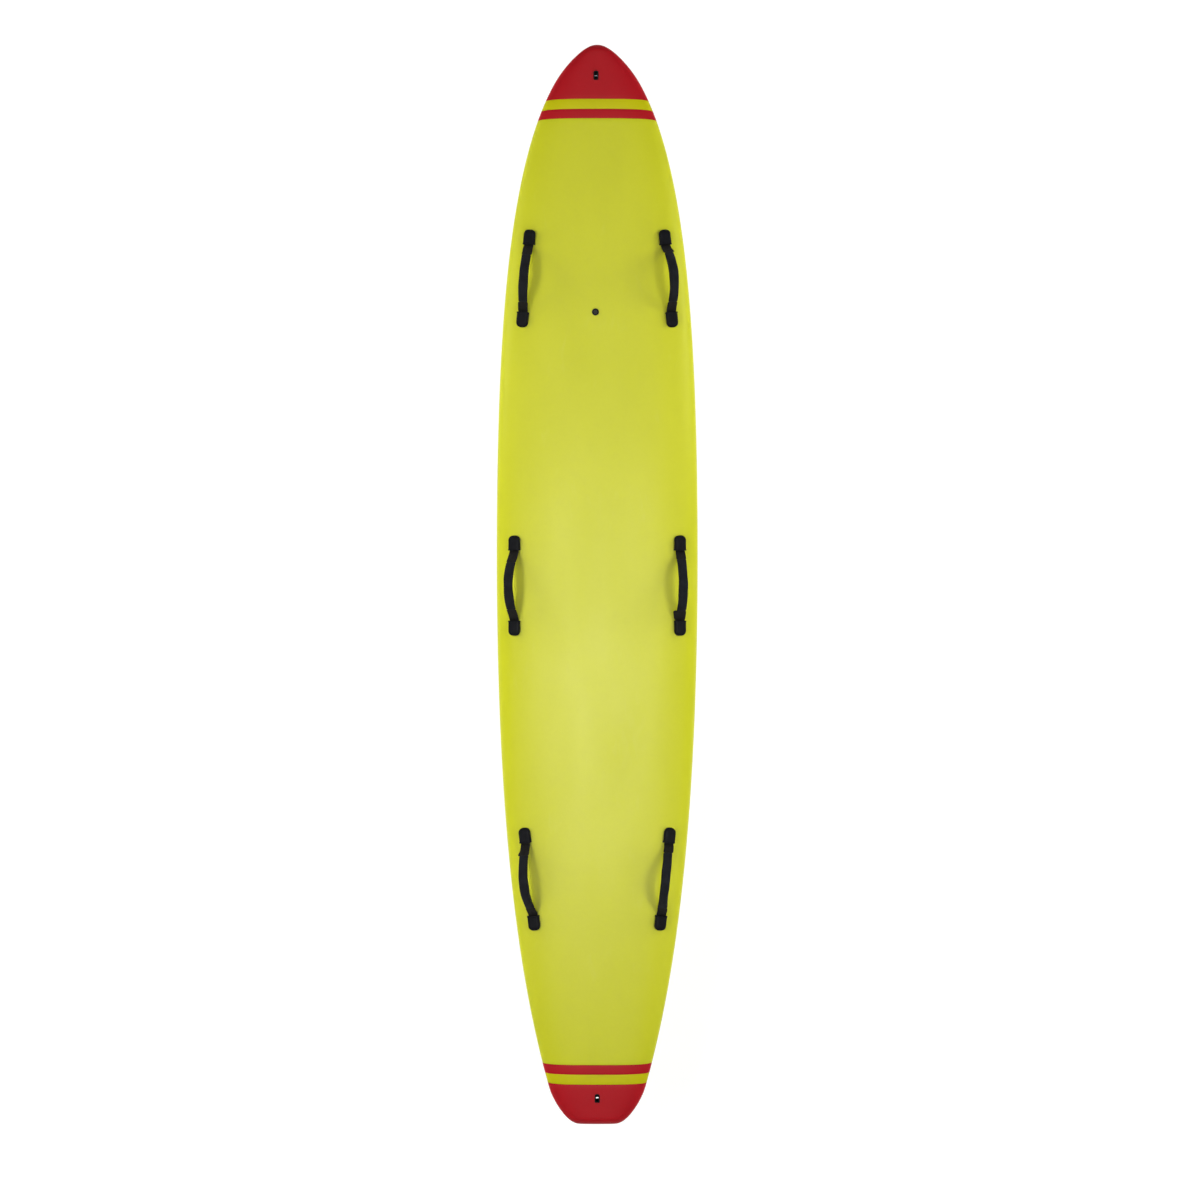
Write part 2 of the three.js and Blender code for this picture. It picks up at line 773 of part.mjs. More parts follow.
function addVent() {
  const place = placeOn('deck', ventOffset, halfLength - ventFromNose, toNose);
  place.name = 'vent_plug';
  board.add(place);
  const top = ventFlangeThickness;
  const flange = ventFlangeDiameter / 2;
  const [head, shank] = [ventHeadDiameter / 2, ventShankDiameter / 2];
  const ringTop = top - ventHeadThickness - gap;
  const seatHeight = ringTop - ventRingThickness - gap;
  const floor = ventFloorThickness - ventBarrelLength;
  const blankFlange = turned([
    [0, -padThickness],
    [flange, -padThickness],
    [flange, top / 2],
    [flange - top / 2, top],
    [0, top],
  ], ventSides).subtract(inPlace(swollenHull, place));
  const hollow = turned([
    [0, -ventBarrelLength - cutOverrun],
    [ventAirHoleDiameter / 2, -ventBarrelLength - cutOverrun],
    [ventAirHoleDiameter / 2, floor],
    [shank + gap, floor],
    [shank + gap, seatHeight],
    [head + gap, seatHeight],
    [head + gap, top + cutOverrun],
    [0, top + cutOverrun],
  ], ventSides);
  const barrel = rod(ventBarrelDiameter, -ventBarrelLength, top, ventSides);
  const body = blankFlange.add(barrel).subtract(hollow);
  place.add(meshOf('vent_body', body, finishes.blackPlastic));

  const slot = block(
    [-head - gap, -ventSlotWidth / 2, top - ventSlotDepth],
    [head + gap, ventSlotWidth / 2, top + gap],
  );
  const screw = turned([
    [0, top - ventHeadThickness - ventShankLength],
    [shank, top - ventHeadThickness - ventShankLength],
    [shank, top - ventHeadThickness],
    [head, top - ventHeadThickness],
    [head, top],
    [0, top],
  ], ventSides).subtract(slot);
  place.add(meshOf('vent_screw', screw, finishes.blackPlastic));

  const [inner, outer] = [shank + gap, head];
  const bevel = ventRingThickness / 4;
  const ringBottom = ringTop - ventRingThickness;
  const ring = turned([
    [inner, ringBottom + bevel],
    [inner + bevel, ringBottom],
    [outer - bevel, ringBottom],
    [outer, ringBottom + bevel],
    [outer, ringTop - bevel],
    [outer - bevel, ringTop],
    [inner + bevel, ringTop],
    [inner, ringTop - bevel],
    [inner, ringBottom + bevel],
  ], ventSides);
  place.add(meshOf('vent_o_ring', ring, finishes.rubber));

  const throughSkin = inBoard(
    rod(ventBarrelDiameter + 2 * gap, -ventBarrelLength - gap, cutOverrun, ventSides),
    place,
  );
  cuts.pads.push(throughSkin);
  cuts.deckShell.push(throughSkin);
  cuts.core.push(throughSkin);
}

// Tow fittings

function addTowFitting(name, x, y) {
  const place = placeOn('deck', x, y, toNose);
  place.name = `${name}_tow_fitting`;
  board.add(place);
  const width = fittingWidth - 2 * fittingFlangeProud;
  const length = fittingLength - 2 * fittingFlangeProud;
  const corner = fittingCorner - fittingFlangeProud;
  const top = fittingFlangeThickness;
  const rim = roundedPlate(fittingWidth, fittingLength, fittingCorner, -padThickness, top)
    .subtract(inPlace(swollenHull, place));
  const [hollowWidth, hollowLength] = [width - 2 * fittingWall, length - 2 * fittingWall];
  const hollowCorner = corner - fittingWall;
  const hollow = roundedPlate(
    hollowWidth,
    hollowLength,
    hollowCorner,
    fittingFloorThickness - fittingDepth,
    top + cutOverrun,
  );
  const pinHole = rod(fittingPinDiameter + 2 * gap, -fittingWidth, fittingWidth, fittingPinSides)
    .rotate([0, 90, 0])
    .translate([0, 0, -fittingPinDepth]);
  const cup = rim
    .add(roundedPlate(width, length, corner, -fittingDepth, top))
    .subtract(hollow)
    .subtract(pinHole);
  place.add(meshOf(`${name}_tow_cup`, cup, finishes.blackPlastic));

  const pinPlace = new THREE.Group();
  pinPlace.position.set(0, 0, -fittingPinDepth);
  pinPlace.rotation.y = Math.PI / 2;
  place.add(pinPlace);
  const pin = rod(fittingPinDiameter, -width / 2, width / 2, fittingPinSides);
  pinPlace.add(meshOf(`${name}_tow_pin`, pin, finishes.stainless));

  const pocket = inBoard(
    roundedPlate(width + 2 * gap, length + 2 * gap, corner + gap, -fittingDepth - gap, cutOverrun),
    place,
  );
  cuts.pads.push(pocket);
  cuts.deckShell.push(pocket);
  cuts.core.push(pocket);
}

// Fin box and fin

function finBladeSolid() {
  const [front, half] = [finTabLength / 2 - finLedgeLength, finBladeBase / 2];
  const middle = front - half;
  const rings = finDepthShares.map((depthShare, index) => {
    const leading = middle + half * finLeadingShares[index];
    const trailing = middle + half * finTrailingShares[index];
    const thickness = finTabThickness * THREE.MathUtils.lerp(1, finTipThicknessShare, depthShare);
    const chord = leading - trailing;
    const right = finSectionShares.map(([along, side]) => [along, side]);
    const left = finSectionShares.slice(1).reverse().map(([along, side]) => [along, -side]);
    return [...right, ...left].map(([along, side]) => new THREE.Vector3(
      thickness * side,
      leading - chord * along,
      finLipHeight / 2 - (finBladeDepth + finLipHeight / 2) * depthShare,
    ));
  });
  return loft(rings);
}

function addFin() {
  const place = placeOn('bottom', 0, finBoxFromTail - halfLength, toNose);
  place.name = 'fin_station';
  // The skin's outward side is down here, so the frame is turned to keep Z up and Y to the nose.
  const up = new THREE.Vector3(0, 0, 1).applyQuaternion(place.quaternion);
  if (up.z < 0) place.rotateY(Math.PI);
  board.add(place);
  const slotX = finTabThickness / 2 + gap;
  const slotY = finTabLength / 2 + finTravel + finBoxEndRoom;
  const boxWidth = 2 * (slotX + finBoxWall);
  const boxLength = 2 * (slotY + finBoxWall);
  const roof = finBoxDepth - finBoxRoofThickness;
  const channelTop = finLipHeight + finPlateThickness + finPlateLift + 2 * gap;
  const channelX = finChannelWidth / 2;
  const slot = block([-slotX, -slotY, -cutOverrun], [slotX, slotY, roof]);
  const channel = block([-channelX, -slotY, finLipHeight], [channelX, slotY, channelTop]);
  const mouth = block(
    [-channelX, -finPlateLength, -cutOverrun],
    [channelX, finPlateLength / 2, channelTop],
  ).translate([0, -slotY + finPlateLength, 0]);
  const corner = boxWidth * finBoxCornerShare;
  const box = roundedPlate(boxWidth, boxLength, corner, 0, finBoxDepth)
    .subtract(slot)
    .subtract(channel)
    .subtract(mouth);
  place.add(meshOf('fin_box', box, finishes.blackPlastic));

  const tabX = finTabThickness / 2;
  const tabFront = finTabLength / 2;
  const ledgeTop = finLipHeight - gap;
  const ledgeBottom = ledgeTop - finLedgeThickness;
  const screwY = tabFront - finScrewSetback;
  const plateBottom = finLipHeight + gap;
  const tab = block([-tabX, -tabFront, 0], [tabX, tabFront - finLedgeLength, finTabHeight]);
  const ledge = block([-tabX, tabFront - finLedgeLength - gap, ledgeBottom], [tabX, tabFront, ledgeTop]);
  const screwHole = rod(finScrewDiameter + 2 * gap, -cutOverrun, finTabHeight, finScrewSides)
    .translate([0, screwY, 0]);
  const fin = tab.add(ledge).add(finBladeSolid()).subtract(screwHole);
  place.add(meshOf('fin', fin, finishes.flexUrethane));

  const screwPlace = new THREE.Group();
  screwPlace.name = 'fin_screw_place';
  screwPlace.position.set(0, screwY, 0);
  place.add(screwPlace);
  const headTop = ledgeBottom - gap;
  const headBottom = headTop - finScrewHeadThickness;
  const [head, shank] = [finScrewHeadDiameter / 2, finScrewDiameter / 2];
  const shankTop = plateBottom + finPlateThickness + gap;
  const slotDepth = finScrewHeadThickness / 2;
  const driverSlot = block(
    [-head - gap, -finScrewSlotWidth / 2, headBottom - gap],
    [head + gap, finScrewSlotWidth / 2, headBottom + slotDepth],
  );
  const screw = turned([
    [0, headBottom],
    [head, headBottom],
    [head, headTop],
    [shank, headTop],
    [shank, shankTop],
    [0, shankTop],
  ], finScrewSides).subtract(driverSlot);
  screwPlace.add(meshOf('fin_screw', screw, finishes.stainless));

  const plateX = channelX - gap;
  const plateY = finPlateLength / 2;
  const plate = block([-plateX, -plateY, plateBottom], [plateX, plateY, plateBottom + finPlateThickness])
    .subtract(rod(finScrewDiameter + 2 * gap, 0, channelTop + cutOverrun, finScrewSides));
  screwPlace.add(meshOf('fin_plate', plate, finishes.brass));

  const pocket = inBoard(
    roundedPlate(boxWidth + 2 * gap, boxLength + 2 * gap, corner + gap, -cutOverrun, finBoxDepth + gap),
    place,
  );
  cuts.bottomShell.push(pocket);
  cuts.core.push(pocket);
}

// Hull layers

function cutBy(solid, tools) {
  return tools.reduce((rest, tool) => rest.subtract(tool), solid);
}

function slab(from, to) {
  const reach = boardLength;
  return block([-reach, Math.min(from, to), -reach], [reach, Math.max(from, to), reach]);
}

function addPads() {
  const whole = cutBy(between(surface('deck', 0, 0), surface('deck', padThickness, 0)), cuts.pads);
  const nose = halfLength;
  const pads = [
    ['nose_pad', nose + cutOverrun, nose - nosePanelEnd, finishes.redFoam],
    ['nose_band', nose - nosePanelEnd, nose - noseBandEnd, finishes.yellowFoam],
    ['nose_stripe', nose - noseBandEnd, nose - noseStripeEnd, finishes.redFoam],
    ['main_deck_pad', nose - noseStripeEnd, tailStripeEnd - nose, finishes.limeFoam],
    ['tail_stripe', tailStripeEnd - nose, tailBandEnd - nose, finishes.redFoam],
    ['tail_band', tailBandEnd - nose, tailPanelEnd - nose, finishes.yellowFoam],
    ['tail_pad', tailPanelEnd - nose, -nose - cutOverrun, finishes.redFoam],
  ];
  pads.forEach(([name, fore, aft, finish]) => {
    board.add(meshOf(name, whole.intersect(slab(fore - gap / 2, aft + gap / 2)), finish));
  });
}

function addShells() {
  const under = deckSkin + deckShellThickness;
  const deck = between(surface('deck', deckSkin, 0), surface('deck', under, 0));
  const room = between(surface('deck', deckSkin, 0), surface('bottom', deckSkin, 0));
  const bossed = bosses.reduce((solid, boss) => solid.add(boss.intersect(room)), deck);
  board.add(meshOf('deck_shell', cutBy(bossed, cuts.deckShell), finishes.laminate));
  const bottom = between(surface('bottom', bottomShellThickness, gap), surface('bottom', 0, gap));
  board.add(meshOf('bottom_shell', cutBy(bottom, cuts.bottomShell), finishes.limeSkin));
}

function addCore() {
  const top = deckSkin + deckShellThickness + gap;
  const base = bottomShellThickness + gap;
  const whole = cutBy(between(surface('deck', top, gap), surface('bottom', base, gap)), cuts.core);
  const reach = boardLength;
  const half = stringerThickness / 2;
  const left = block([-reach, -reach, -reach], [-half - gap, reach, reach]);
  const right = block([half + gap, -reach, -reach], [reach, reach, reach]);
  const middle = block([-half, -reach, -reach], [half, reach, reach]);
  board.add(meshOf('core_left', whole.intersect(left), finishes.polystyrene));
  board.add(meshOf('core_right', whole.intersect(right), finishes.polystyrene));
  board.add(meshOf('stringer', whole.intersect(middle), finishes.plywood));
}

handleRows.forEach((row) => ['left', 'right'].forEach((side) => addHandle(row, side)));
addVent();
addTowFitting('nose', noseFittingOffset, halfLength - noseFittingSetback);
addTowFitting('tail', 0, tailFittingSetback - halfLength);
addFin();
addPads();
addShells();
addCore();

export default board;
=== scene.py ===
"""Finishes the rescue board: foam deck, slick bottom, rail handles, vent plug, tow fittings and fin.

Lengths are metres. +Y points to the nose, +X to the right of a rider who faces it, +Z up out of the deck.
Every piece is worked out in the board's own frame, so each object stays at the origin.
"""

import logging
import math
from dataclasses import dataclass, field
from enum import Enum
from functools import lru_cache

import bmesh
import bpy
import numpy as np
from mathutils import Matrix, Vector


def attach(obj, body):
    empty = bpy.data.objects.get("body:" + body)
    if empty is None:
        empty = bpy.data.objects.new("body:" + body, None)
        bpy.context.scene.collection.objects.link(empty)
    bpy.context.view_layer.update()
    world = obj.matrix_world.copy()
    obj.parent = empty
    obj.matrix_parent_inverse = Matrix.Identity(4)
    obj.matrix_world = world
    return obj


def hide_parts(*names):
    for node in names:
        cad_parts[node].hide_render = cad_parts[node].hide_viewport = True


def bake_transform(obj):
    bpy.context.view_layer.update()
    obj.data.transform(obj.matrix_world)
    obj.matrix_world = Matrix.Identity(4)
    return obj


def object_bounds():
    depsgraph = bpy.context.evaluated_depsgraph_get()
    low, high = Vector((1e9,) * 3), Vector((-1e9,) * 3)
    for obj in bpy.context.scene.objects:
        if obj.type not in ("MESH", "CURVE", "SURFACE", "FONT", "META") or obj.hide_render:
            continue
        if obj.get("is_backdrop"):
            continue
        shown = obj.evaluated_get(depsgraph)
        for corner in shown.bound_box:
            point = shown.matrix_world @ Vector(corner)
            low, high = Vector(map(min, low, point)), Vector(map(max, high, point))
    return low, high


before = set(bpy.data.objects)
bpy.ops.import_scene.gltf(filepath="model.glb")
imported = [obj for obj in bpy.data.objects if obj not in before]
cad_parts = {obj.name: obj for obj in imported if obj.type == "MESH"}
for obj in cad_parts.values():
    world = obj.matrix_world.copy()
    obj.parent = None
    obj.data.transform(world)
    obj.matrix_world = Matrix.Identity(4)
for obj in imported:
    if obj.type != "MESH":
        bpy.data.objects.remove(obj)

Array = np.ndarray
Colour = tuple[float, float, float]

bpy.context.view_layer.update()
LOG = logging.getLogger("rescue_board")

GAP = 0.0003  # between neighbouring pieces
OVERRUN = 0.005  # how far a cutting form passes the face it cuts
MERGE = 1e-6  # points nearer than this are one point
CREASE = math.radians(35)  # a sharper edge than this isn't shaded round
TO_NOSE = np.array([0.0, 1.0, 0.0])
FULL_TURN = 2.0 * math.pi
ROD_SIDES = 48
THREAD_ROWS = 160
SIDE_SHARE = 0.45  # the most of a side that a rounded corner takes
BUMP_STRENGTH = 0.8
SCUFF_ROUGHNESS = 0.15  # what a rubbed mark adds to the roughness


# Curves and outlines


def smooth_step(share: Array) -> Array:
    """Returns 0 below 0, 1 above 1, and t * t * (3 - 2 * t) between."""
    t = np.clip(share, 0.0, 1.0)
    return t * t * (3.0 - 2.0 * t)


def signed_power(values: Array, power: float) -> Array:
    """Returns each value's size to a power, with the value's own sign."""
    return np.sign(values) * np.abs(values) ** power


def bezier(controls: Array, shares: Array) -> tuple[Array, Array]:
    """Follows a cubic Bezier curve. Its controls are weighted by the terms of (s + t) cubed, with s = 1 - t.

    Args:
        controls: Four control points, one to a row.
        shares: How far along the curve each wanted point lies, from 0 to 1.

    Returns:
        The points, and the unit directions in which the curve runs there.
    """
    t = shares[:, None]
    s = 1.0 - t
    weights = np.hstack([s**3, 3 * s * s * t, 3 * s * t * t, t**3])
    slopes = np.hstack([-3 * s * s, 3 * s * s - 6 * s * t, 6 * s * t - 3 * t * t, 3 * t * t])
    along = slopes @ controls
    return weights @ controls, along / np.linalg.norm(along, axis=1, keepdims=True)


def through(knots: Array, values: Array, at: Array) -> Array:
    """Runs a smooth curve through values at knots: cubic Hermite pieces with the slopes of the neighbours.

    Args:
        knots: Rising places of the values.
        values: The values there.
        at: Places at which the curve is wanted.

    Returns:
        The curve's values at those places.
    """
    slopes = np.gradient(values, knots)
    i = np.clip(np.searchsorted(knots, at) - 1, 0, len(knots) - 2)
    run = knots[i + 1] - knots[i]
    t = np.clip((at - knots[i]) / run, 0.0, 1.0)
    rise = smooth_step(t)
    return (
        values[i] * (1 - rise)
        + values[i + 1] * rise
        + run * t * (1 - t) * (slopes[i] * (1 - t) - slopes[i + 1] * t)
    )


def softened(corners: Array, radius: float, steps: int = 5) -> Array:
    """Rounds a line's corners: each gives way to a quadratic curve between its two sides.

    Args:
        corners: The line's (x, y) points. The first and last stay.
        radius: How far from each corner the curve starts. It takes at most SIDE_SHARE of a side.
        steps: Points on each curve.

    Returns:
        The rounded line's points.
    """
    middle = corners[1:-1, None, :]
    back = corners[:-2, None, :] - middle
    ahead = corners[2:, None, :] - middle
    back_run = np.linalg.norm(back, axis=2, keepdims=True)
    ahead_run = np.linalg.norm(ahead, axis=2, keepdims=True)
    reach = np.minimum(radius, SIDE_SHARE * np.minimum(back_run, ahead_run))
    t = np.linspace(0.0, 1.0, steps)[None, :, None]
    start = middle + back / back_run * reach
    end = middle + ahead / ahead_run * reach
    curves = (1 - t) ** 2 * start + 2 * t * (1 - t) * middle + t**2 * end
    return np.vstack([corners[:1], curves.reshape(-1, 2), corners[-1:]])


def resampled(points: Array, count: int) -> Array:
    """Lays a line's points anew, an equal way apart.

    Args:
        points: The line's points, one to a row.
        count: How many points the new line has.

    Returns:
        The new line's points.
    """
    runs = np.linalg.norm(np.diff(points, axis=0), axis=1)
    way = np.concatenate([[0.0], np.cumsum(runs)])
    wanted = np.linspace(0.0, way[-1], count)
    return np.stack([np.interp(wanted, way, column) for column in points.T], axis=1)


# Meshes


class Shell:
    """Grids of points that are joined into one closed mesh."""

    def __init__(self) -> None:
        """Starts with no points."""
        self.points: list[Array] = []
        self.places: list[Array] = []
        self.faces: list[Array] = []
        self.count = 0

    def grid(self, points: Array, mapped: Array | None = None) -> Array:
        """Adds a grid of points and the faces between them.

        Args:
            points: Rows by columns by 3 coordinates.
            mapped: Rows by columns by 2 places on the piece's own map, in metres.

        Returns:
            The index of each point, rows by columns.
        """
        rows, columns = points.shape[:2]
        index = self.count + np.arange(rows * columns).reshape(rows, columns)
        self.points.append(points.reshape(-1, 3))
        self.places.append(np.zeros((rows * columns, 2)) if mapped is None else mapped.reshape(-1, 2))
        corners = [index[:-1, :-1], index[1:, :-1], index[1:, 1:], index[:-1, 1:]]
        self.faces.append(np.stack(corners, axis=-1).reshape(-1, 4))
        self.count += rows * columns
        return index

    def bridge(self, first: Array, second: Array) -> None:
        """Adds faces between two lines of as many points, given by their indexes."""
        self.faces.append(np.stack([first[:-1], first[1:], second[1:], second[:-1]], axis=-1))

    def close(self, upper: Array, lower: Array) -> None:
        """Adds the strips round the rims of two grids that lie over each other."""
        for edge in ((0, slice(None)), (-1, slice(None)), (slice(None), 0), (slice(None), -1)):
            self.bridge(upper[edge], lower[edge])

    def build(self, name: str) -> bpy.types.Object:
        """Makes the mesh: merges what coincides, turns the faces outwards and shades them round.

        Args:
            name: The new object's name.

        Returns:
            The object, at the origin, with its map in a UV layer.
        """
        mesh = bpy.data.meshes.new(name)
        mesh.from_pydata(np.concatenate(self.points).tolist(), [], np.concatenate(self.faces).tolist())
        corner = np.empty(len(mesh.loops), np.int32)
        mesh.loops.foreach_get("vertex_index", corner)
        layer = mesh.uv_layers.new(name="Surface")
        layer.data.foreach_set("uv", np.concatenate(self.places)[corner].astype(np.float32).ravel())
        form = bmesh.new()
        form.from_mesh(mesh)
        bmesh.ops.remove_doubles(form, verts=form.verts, dist=MERGE)
        bmesh.ops.dissolve_degenerate(form, edges=form.edges, dist=MERGE)
        bmesh.ops.recalc_face_normals(form, faces=form.faces)
        form.to_mesh(mesh)
        form.free()
        piece = bpy.data.objects.new(name, mesh)
        bpy.context.scene.collection.objects.link(piece)
        shade(piece)
        return piece


def shade(piece: bpy.types.Object) -> None:
    """Shades a piece round, and sharp at its creases."""
    piece.data.shade_smooth()
    piece.data.set_sharp_from_angle(angle=CREASE)


class Joining(Enum):
    """What a boolean does with the forms it is given."""

    CUT = "DIFFERENCE"
    ADD = "UNION"


def joined(piece: bpy.types.Object, tools: list[bpy.types.Object], how: Joining) -> bpy.types.Object:
    """Cuts closed forms out of a piece, or adds them to it, and deletes them.

    Args:
        piece: The closed piece that changes.
        tools: The closed forms.
        how: Whether they are cut out or added.

    Returns:
        The piece.
    """
    for tool in tools:
        modifier = piece.modifiers.new(how.name, "BOOLEAN")
        modifier.operation = how.value
        modifier.solver = "MANIFOLD"
        modifier.object = tool
    view = bpy.context.evaluated_depsgraph_get()
    result = bpy.data.meshes.new_from_object(piece.evaluated_get(view))
    piece.modifiers.clear()
    former, piece.data = piece.data, result
    result.name = piece.name
    bpy.data.meshes.remove(former)
    for tool in tools:
        bpy.data.objects.remove(tool)
    shade(piece)
    return piece


@dataclass(frozen=True)
class Place:
    """A frame on the board: an origin, and three unit directions as the rows of a matrix."""

    origin: Array
    axes: Array

    def world(self, points: Array) -> Array:
        """Returns points of this frame in the board's frame."""
        return points @ self.axes + self.origin

    def lying(self) -> "Place":
        """Returns the frame with its third direction along what was its first."""
        return Place(self.origin, self.axes[[1, 2, 0]])

    def moved(self, offset: tuple[float, float, float]) -> "Place":
        """Returns the frame moved by an offset of its own."""
        return Place(self.world(np.array(offset)), self.axes)


def turned_form(name: str, profile: Array, place: Place, sides: int = 64) -> bpy.types.Object:
    """Turns a profile about a frame's third direction: (r cos a, r sin a, h) for each (r, h) and angle a.

    Args:
        name: The new object's name.
        profile: (radius, height) pairs, from axis to axis, or closed on itself.
        place: The frame.
        sides: Points in each ring.

    Returns:
        The object.
    """
    angles = np.linspace(0.0, FULL_TURN, sides + 1)[None, :]
    radius, height = profile[:, :1], profile[:, 1:]
    ring = np.stack([radius * np.cos(angles), radius * np.sin(angles), height + 0 * angles], axis=-1)
    mapped = np.stack([radius * angles, height + 0 * angles], axis=-1)
    shell = Shell()
    shell.grid(place.world(ring), mapped)
    return shell.build(name)


def plate_form(
    name: str,
    size: tuple[float, float],
    corners: tuple[float, float],
    profile: Array,
    place: Place,
    steps: int = 9,
) -> bpy.types.Object:
    """Carries a profile round a rectangle with round corners, and closes both of its ends in the middle.

    At each (inset, height) pair the rectangle is drawn in by the inset. Its corner is an arc about a point
    that stays where it is, until the inset has used up the corner's radius.

    Args:
        name: The new object's name.
        size: The rectangle's width and length.
        corners: The radius of its corners at the nose end, and at the tail end.
        profile: (inset, height) pairs from the bottom's middle to the top's middle.
        place: The frame.
        steps: Points in each corner.

    Returns:
        The object.
    """
    quarter = np.linspace(0.0, math.pi / 2, steps)
    angles = np.concatenate([quarter + k * math.pi / 2 for k in range(4)])
    sign_x = np.repeat([1.0, -1.0, -1.0, 1.0], steps)
    sign_y = np.repeat([1.0, 1.0, -1.0, -1.0], steps)
    corner = np.repeat([corners[0], corners[0], corners[1], corners[1]], steps)
    inset = profile[:, :1]
    radius = np.maximum(corner - inset, 0.0)
    x = sign_x * np.maximum(size[0] / 2 - np.maximum(inset, corner), 0.0) + radius * np.cos(angles)
    y = sign_y * np.maximum(size[1] / 2 - np.maximum(inset, corner), 0.0) + radius * np.sin(angles)
    ring = np.stack([x, y, profile[:, 1:] + 0 * x], axis=-1)
    middle = ring * np.array([0.0, 0.0, 1.0])
    ring = np.concatenate([middle[:1], ring, middle[-1:]])
    ring = np.concatenate([ring, ring[:, :1]], axis=1)
    shell = Shell()
    shell.grid(place.world(ring), ring[..., :2])
    return shell.build(name)


def block_form(size: tuple[float, float], low: float, high: float, place: Place) -> bpy.types.Object:
    """Makes a plain cutting block of a width and a length, between two heights of a frame."""
    sides = np.array([[0.0, low], [0.0, high]])
    return plate_form("cutter", size, (0.0, 0.0), sides, place, steps=1)


def rod_form(diameter: float, low: float, high: float, place: Place) -> bpy.types.Object:
    """Makes a plain cutting rod between two heights of a frame."""
    line = np.array([[0.0, low], [diameter / 2, low], [diameter / 2, high], [0.0, high]])
    return turned_form("cutter", line, place, ROD_SIDES)


# Finishes


class Sketch:
    """Adds nodes to a node tree and joins their sockets."""

    def __init__(self, tree: bpy.types.NodeTree) -> None:
        """Takes the tree to draw in."""
        self.tree = tree

    def node(self, kind: str, **settings: object) -> bpy.types.Node:
        """Adds a node.

        Args:
            kind: The node's type, without the words in front that all share.
            settings: Properties of the node.

        Returns:
            The node.
        """
        node = self.tree.nodes.new("ShaderNode" + kind)
        for key, value in settings.items():
            setattr(node, key, value)
        return node

    def feed(self, target: bpy.types.NodeSocket, source: object) -> None:
        """Joins a socket to another, or gives it a plain value.

        Args:
            target: The input.
            source: An output, or the value.
        """
        if isinstance(source, bpy.types.NodeSocket):
            self.tree.links.new(source, target)
        else:
            target.default_value = source

    def maths(self, operation: str, *values: object) -> bpy.types.NodeSocket:
        """Adds a Math node.

        Args:
            operation: What it works out.
            values: Up to three sockets or numbers.

        Returns:
            Its result.
        """
        node = self.node("Math", operation=operation)
        for socket, value in zip(node.inputs, values):
            self.feed(socket, value)
        return node.outputs[0]

    def ramp(
        self, value: object, low: float, high: float, start: float = 0.0, end: float = 1.0
    ) -> bpy.types.NodeSocket:
        """Maps a value from one range to another, and keeps it inside.

        Args:
            value: The value.
            low: Where its own range starts.
            high: Where that ends.
            start: What the low end becomes.
            end: What the high end becomes.

        Returns:
            The mapped value.
        """
        node = self.node("MapRange", clamp=True)
        for socket, item in zip(node.inputs, (value, low, high, start, end)):
            self.feed(socket, item)
        return node.outputs[0]

    def blend(self, share: object, first: object, second: object) -> bpy.types.NodeSocket:
        """Mixes two colours.

        Args:
            share: How much of the second is in the mix.
            first: A colour.
            second: The other.

        Returns:
            The mixed colour.
        """
        node = self.node("Mix", data_type="RGBA")
        for socket, item in zip((node.inputs[0], node.inputs[6], node.inputs[7]), (share, first, second)):
            self.feed(socket, item)
        return node.outputs[2]

    def noise(
        self, vector: object, scale: object, detail: float = 3.0, distortion: float = 0.0
    ) -> bpy.types.NodeSocket:
        """Adds a Noise Texture.

        Args:
            vector: Where on the piece.
            scale: How many lumps there are to a metre.
            detail: Its octaves.
            distortion: How far it is warped.

        Returns:
            Its factor.
        """
        node = self.node("TexNoise")
        settings = {"Vector": vector, "Scale": scale, "Detail": detail, "Distortion": distortion}
        for key, item in settings.items():
            self.feed(node.inputs[key], item)
        return node.outputs["Fac"]

    def seen_directly(self, path: bpy.types.Node) -> bpy.types.NodeSocket:
        """Returns 1 for a Light Path node's camera, glossy and transmission rays, and 0 for the rest."""
        rays = [path.outputs[f"Is {kind} Ray"] for kind in ("Camera", "Glossy", "Transmission")]
        return self.maths("MAXIMUM", self.maths("MAXIMUM", rays[0], rays[1]), rays[2])

    def stretched(self, vector: object, factors: tuple[float, float, float]) -> bpy.types.NodeSocket:
        """Multiplies a vector's coordinates.

        Args:
            vector: The vector.
            factors: A factor for each coordinate.

        Returns:
            The new vector.
        """
        node = self.node("VectorMath", operation="MULTIPLY")
        self.feed(node.inputs[0], vector)
        self.feed(node.inputs[1], factors)
        return node.outputs[0]


def new_group(name: str, inputs: tuple[tuple[str, str], ...], outputs: tuple[str, ...]) -> tuple:
    """Starts a shader node group.

    Args:
        name: The group's name.
        inputs: Name and socket type of each input.
        outputs: Name of each output. They are all numbers.

    Returns:
        The group, its sketch, its input node and its output node.
    """
    group = bpy.data.node_groups.new(name, "ShaderNodeTree")
    for label, kind in inputs:
        group.interface.new_socket(label, in_out="INPUT", socket_type="NodeSocket" + kind)
    for label in outputs:
        group.interface.new_socket(label, in_out="OUTPUT", socket_type="NodeSocketFloat")
    source = group.nodes.new("NodeGroupInput")
    result = group.nodes.new("NodeGroupOutput")
    return group, Sketch(group), source.outputs, result.inputs


PATTERN_INPUTS = (("Vector", "Vector"), ("Size", "Float"))
PATTERN_OUTPUTS = ("Height", "Tone")


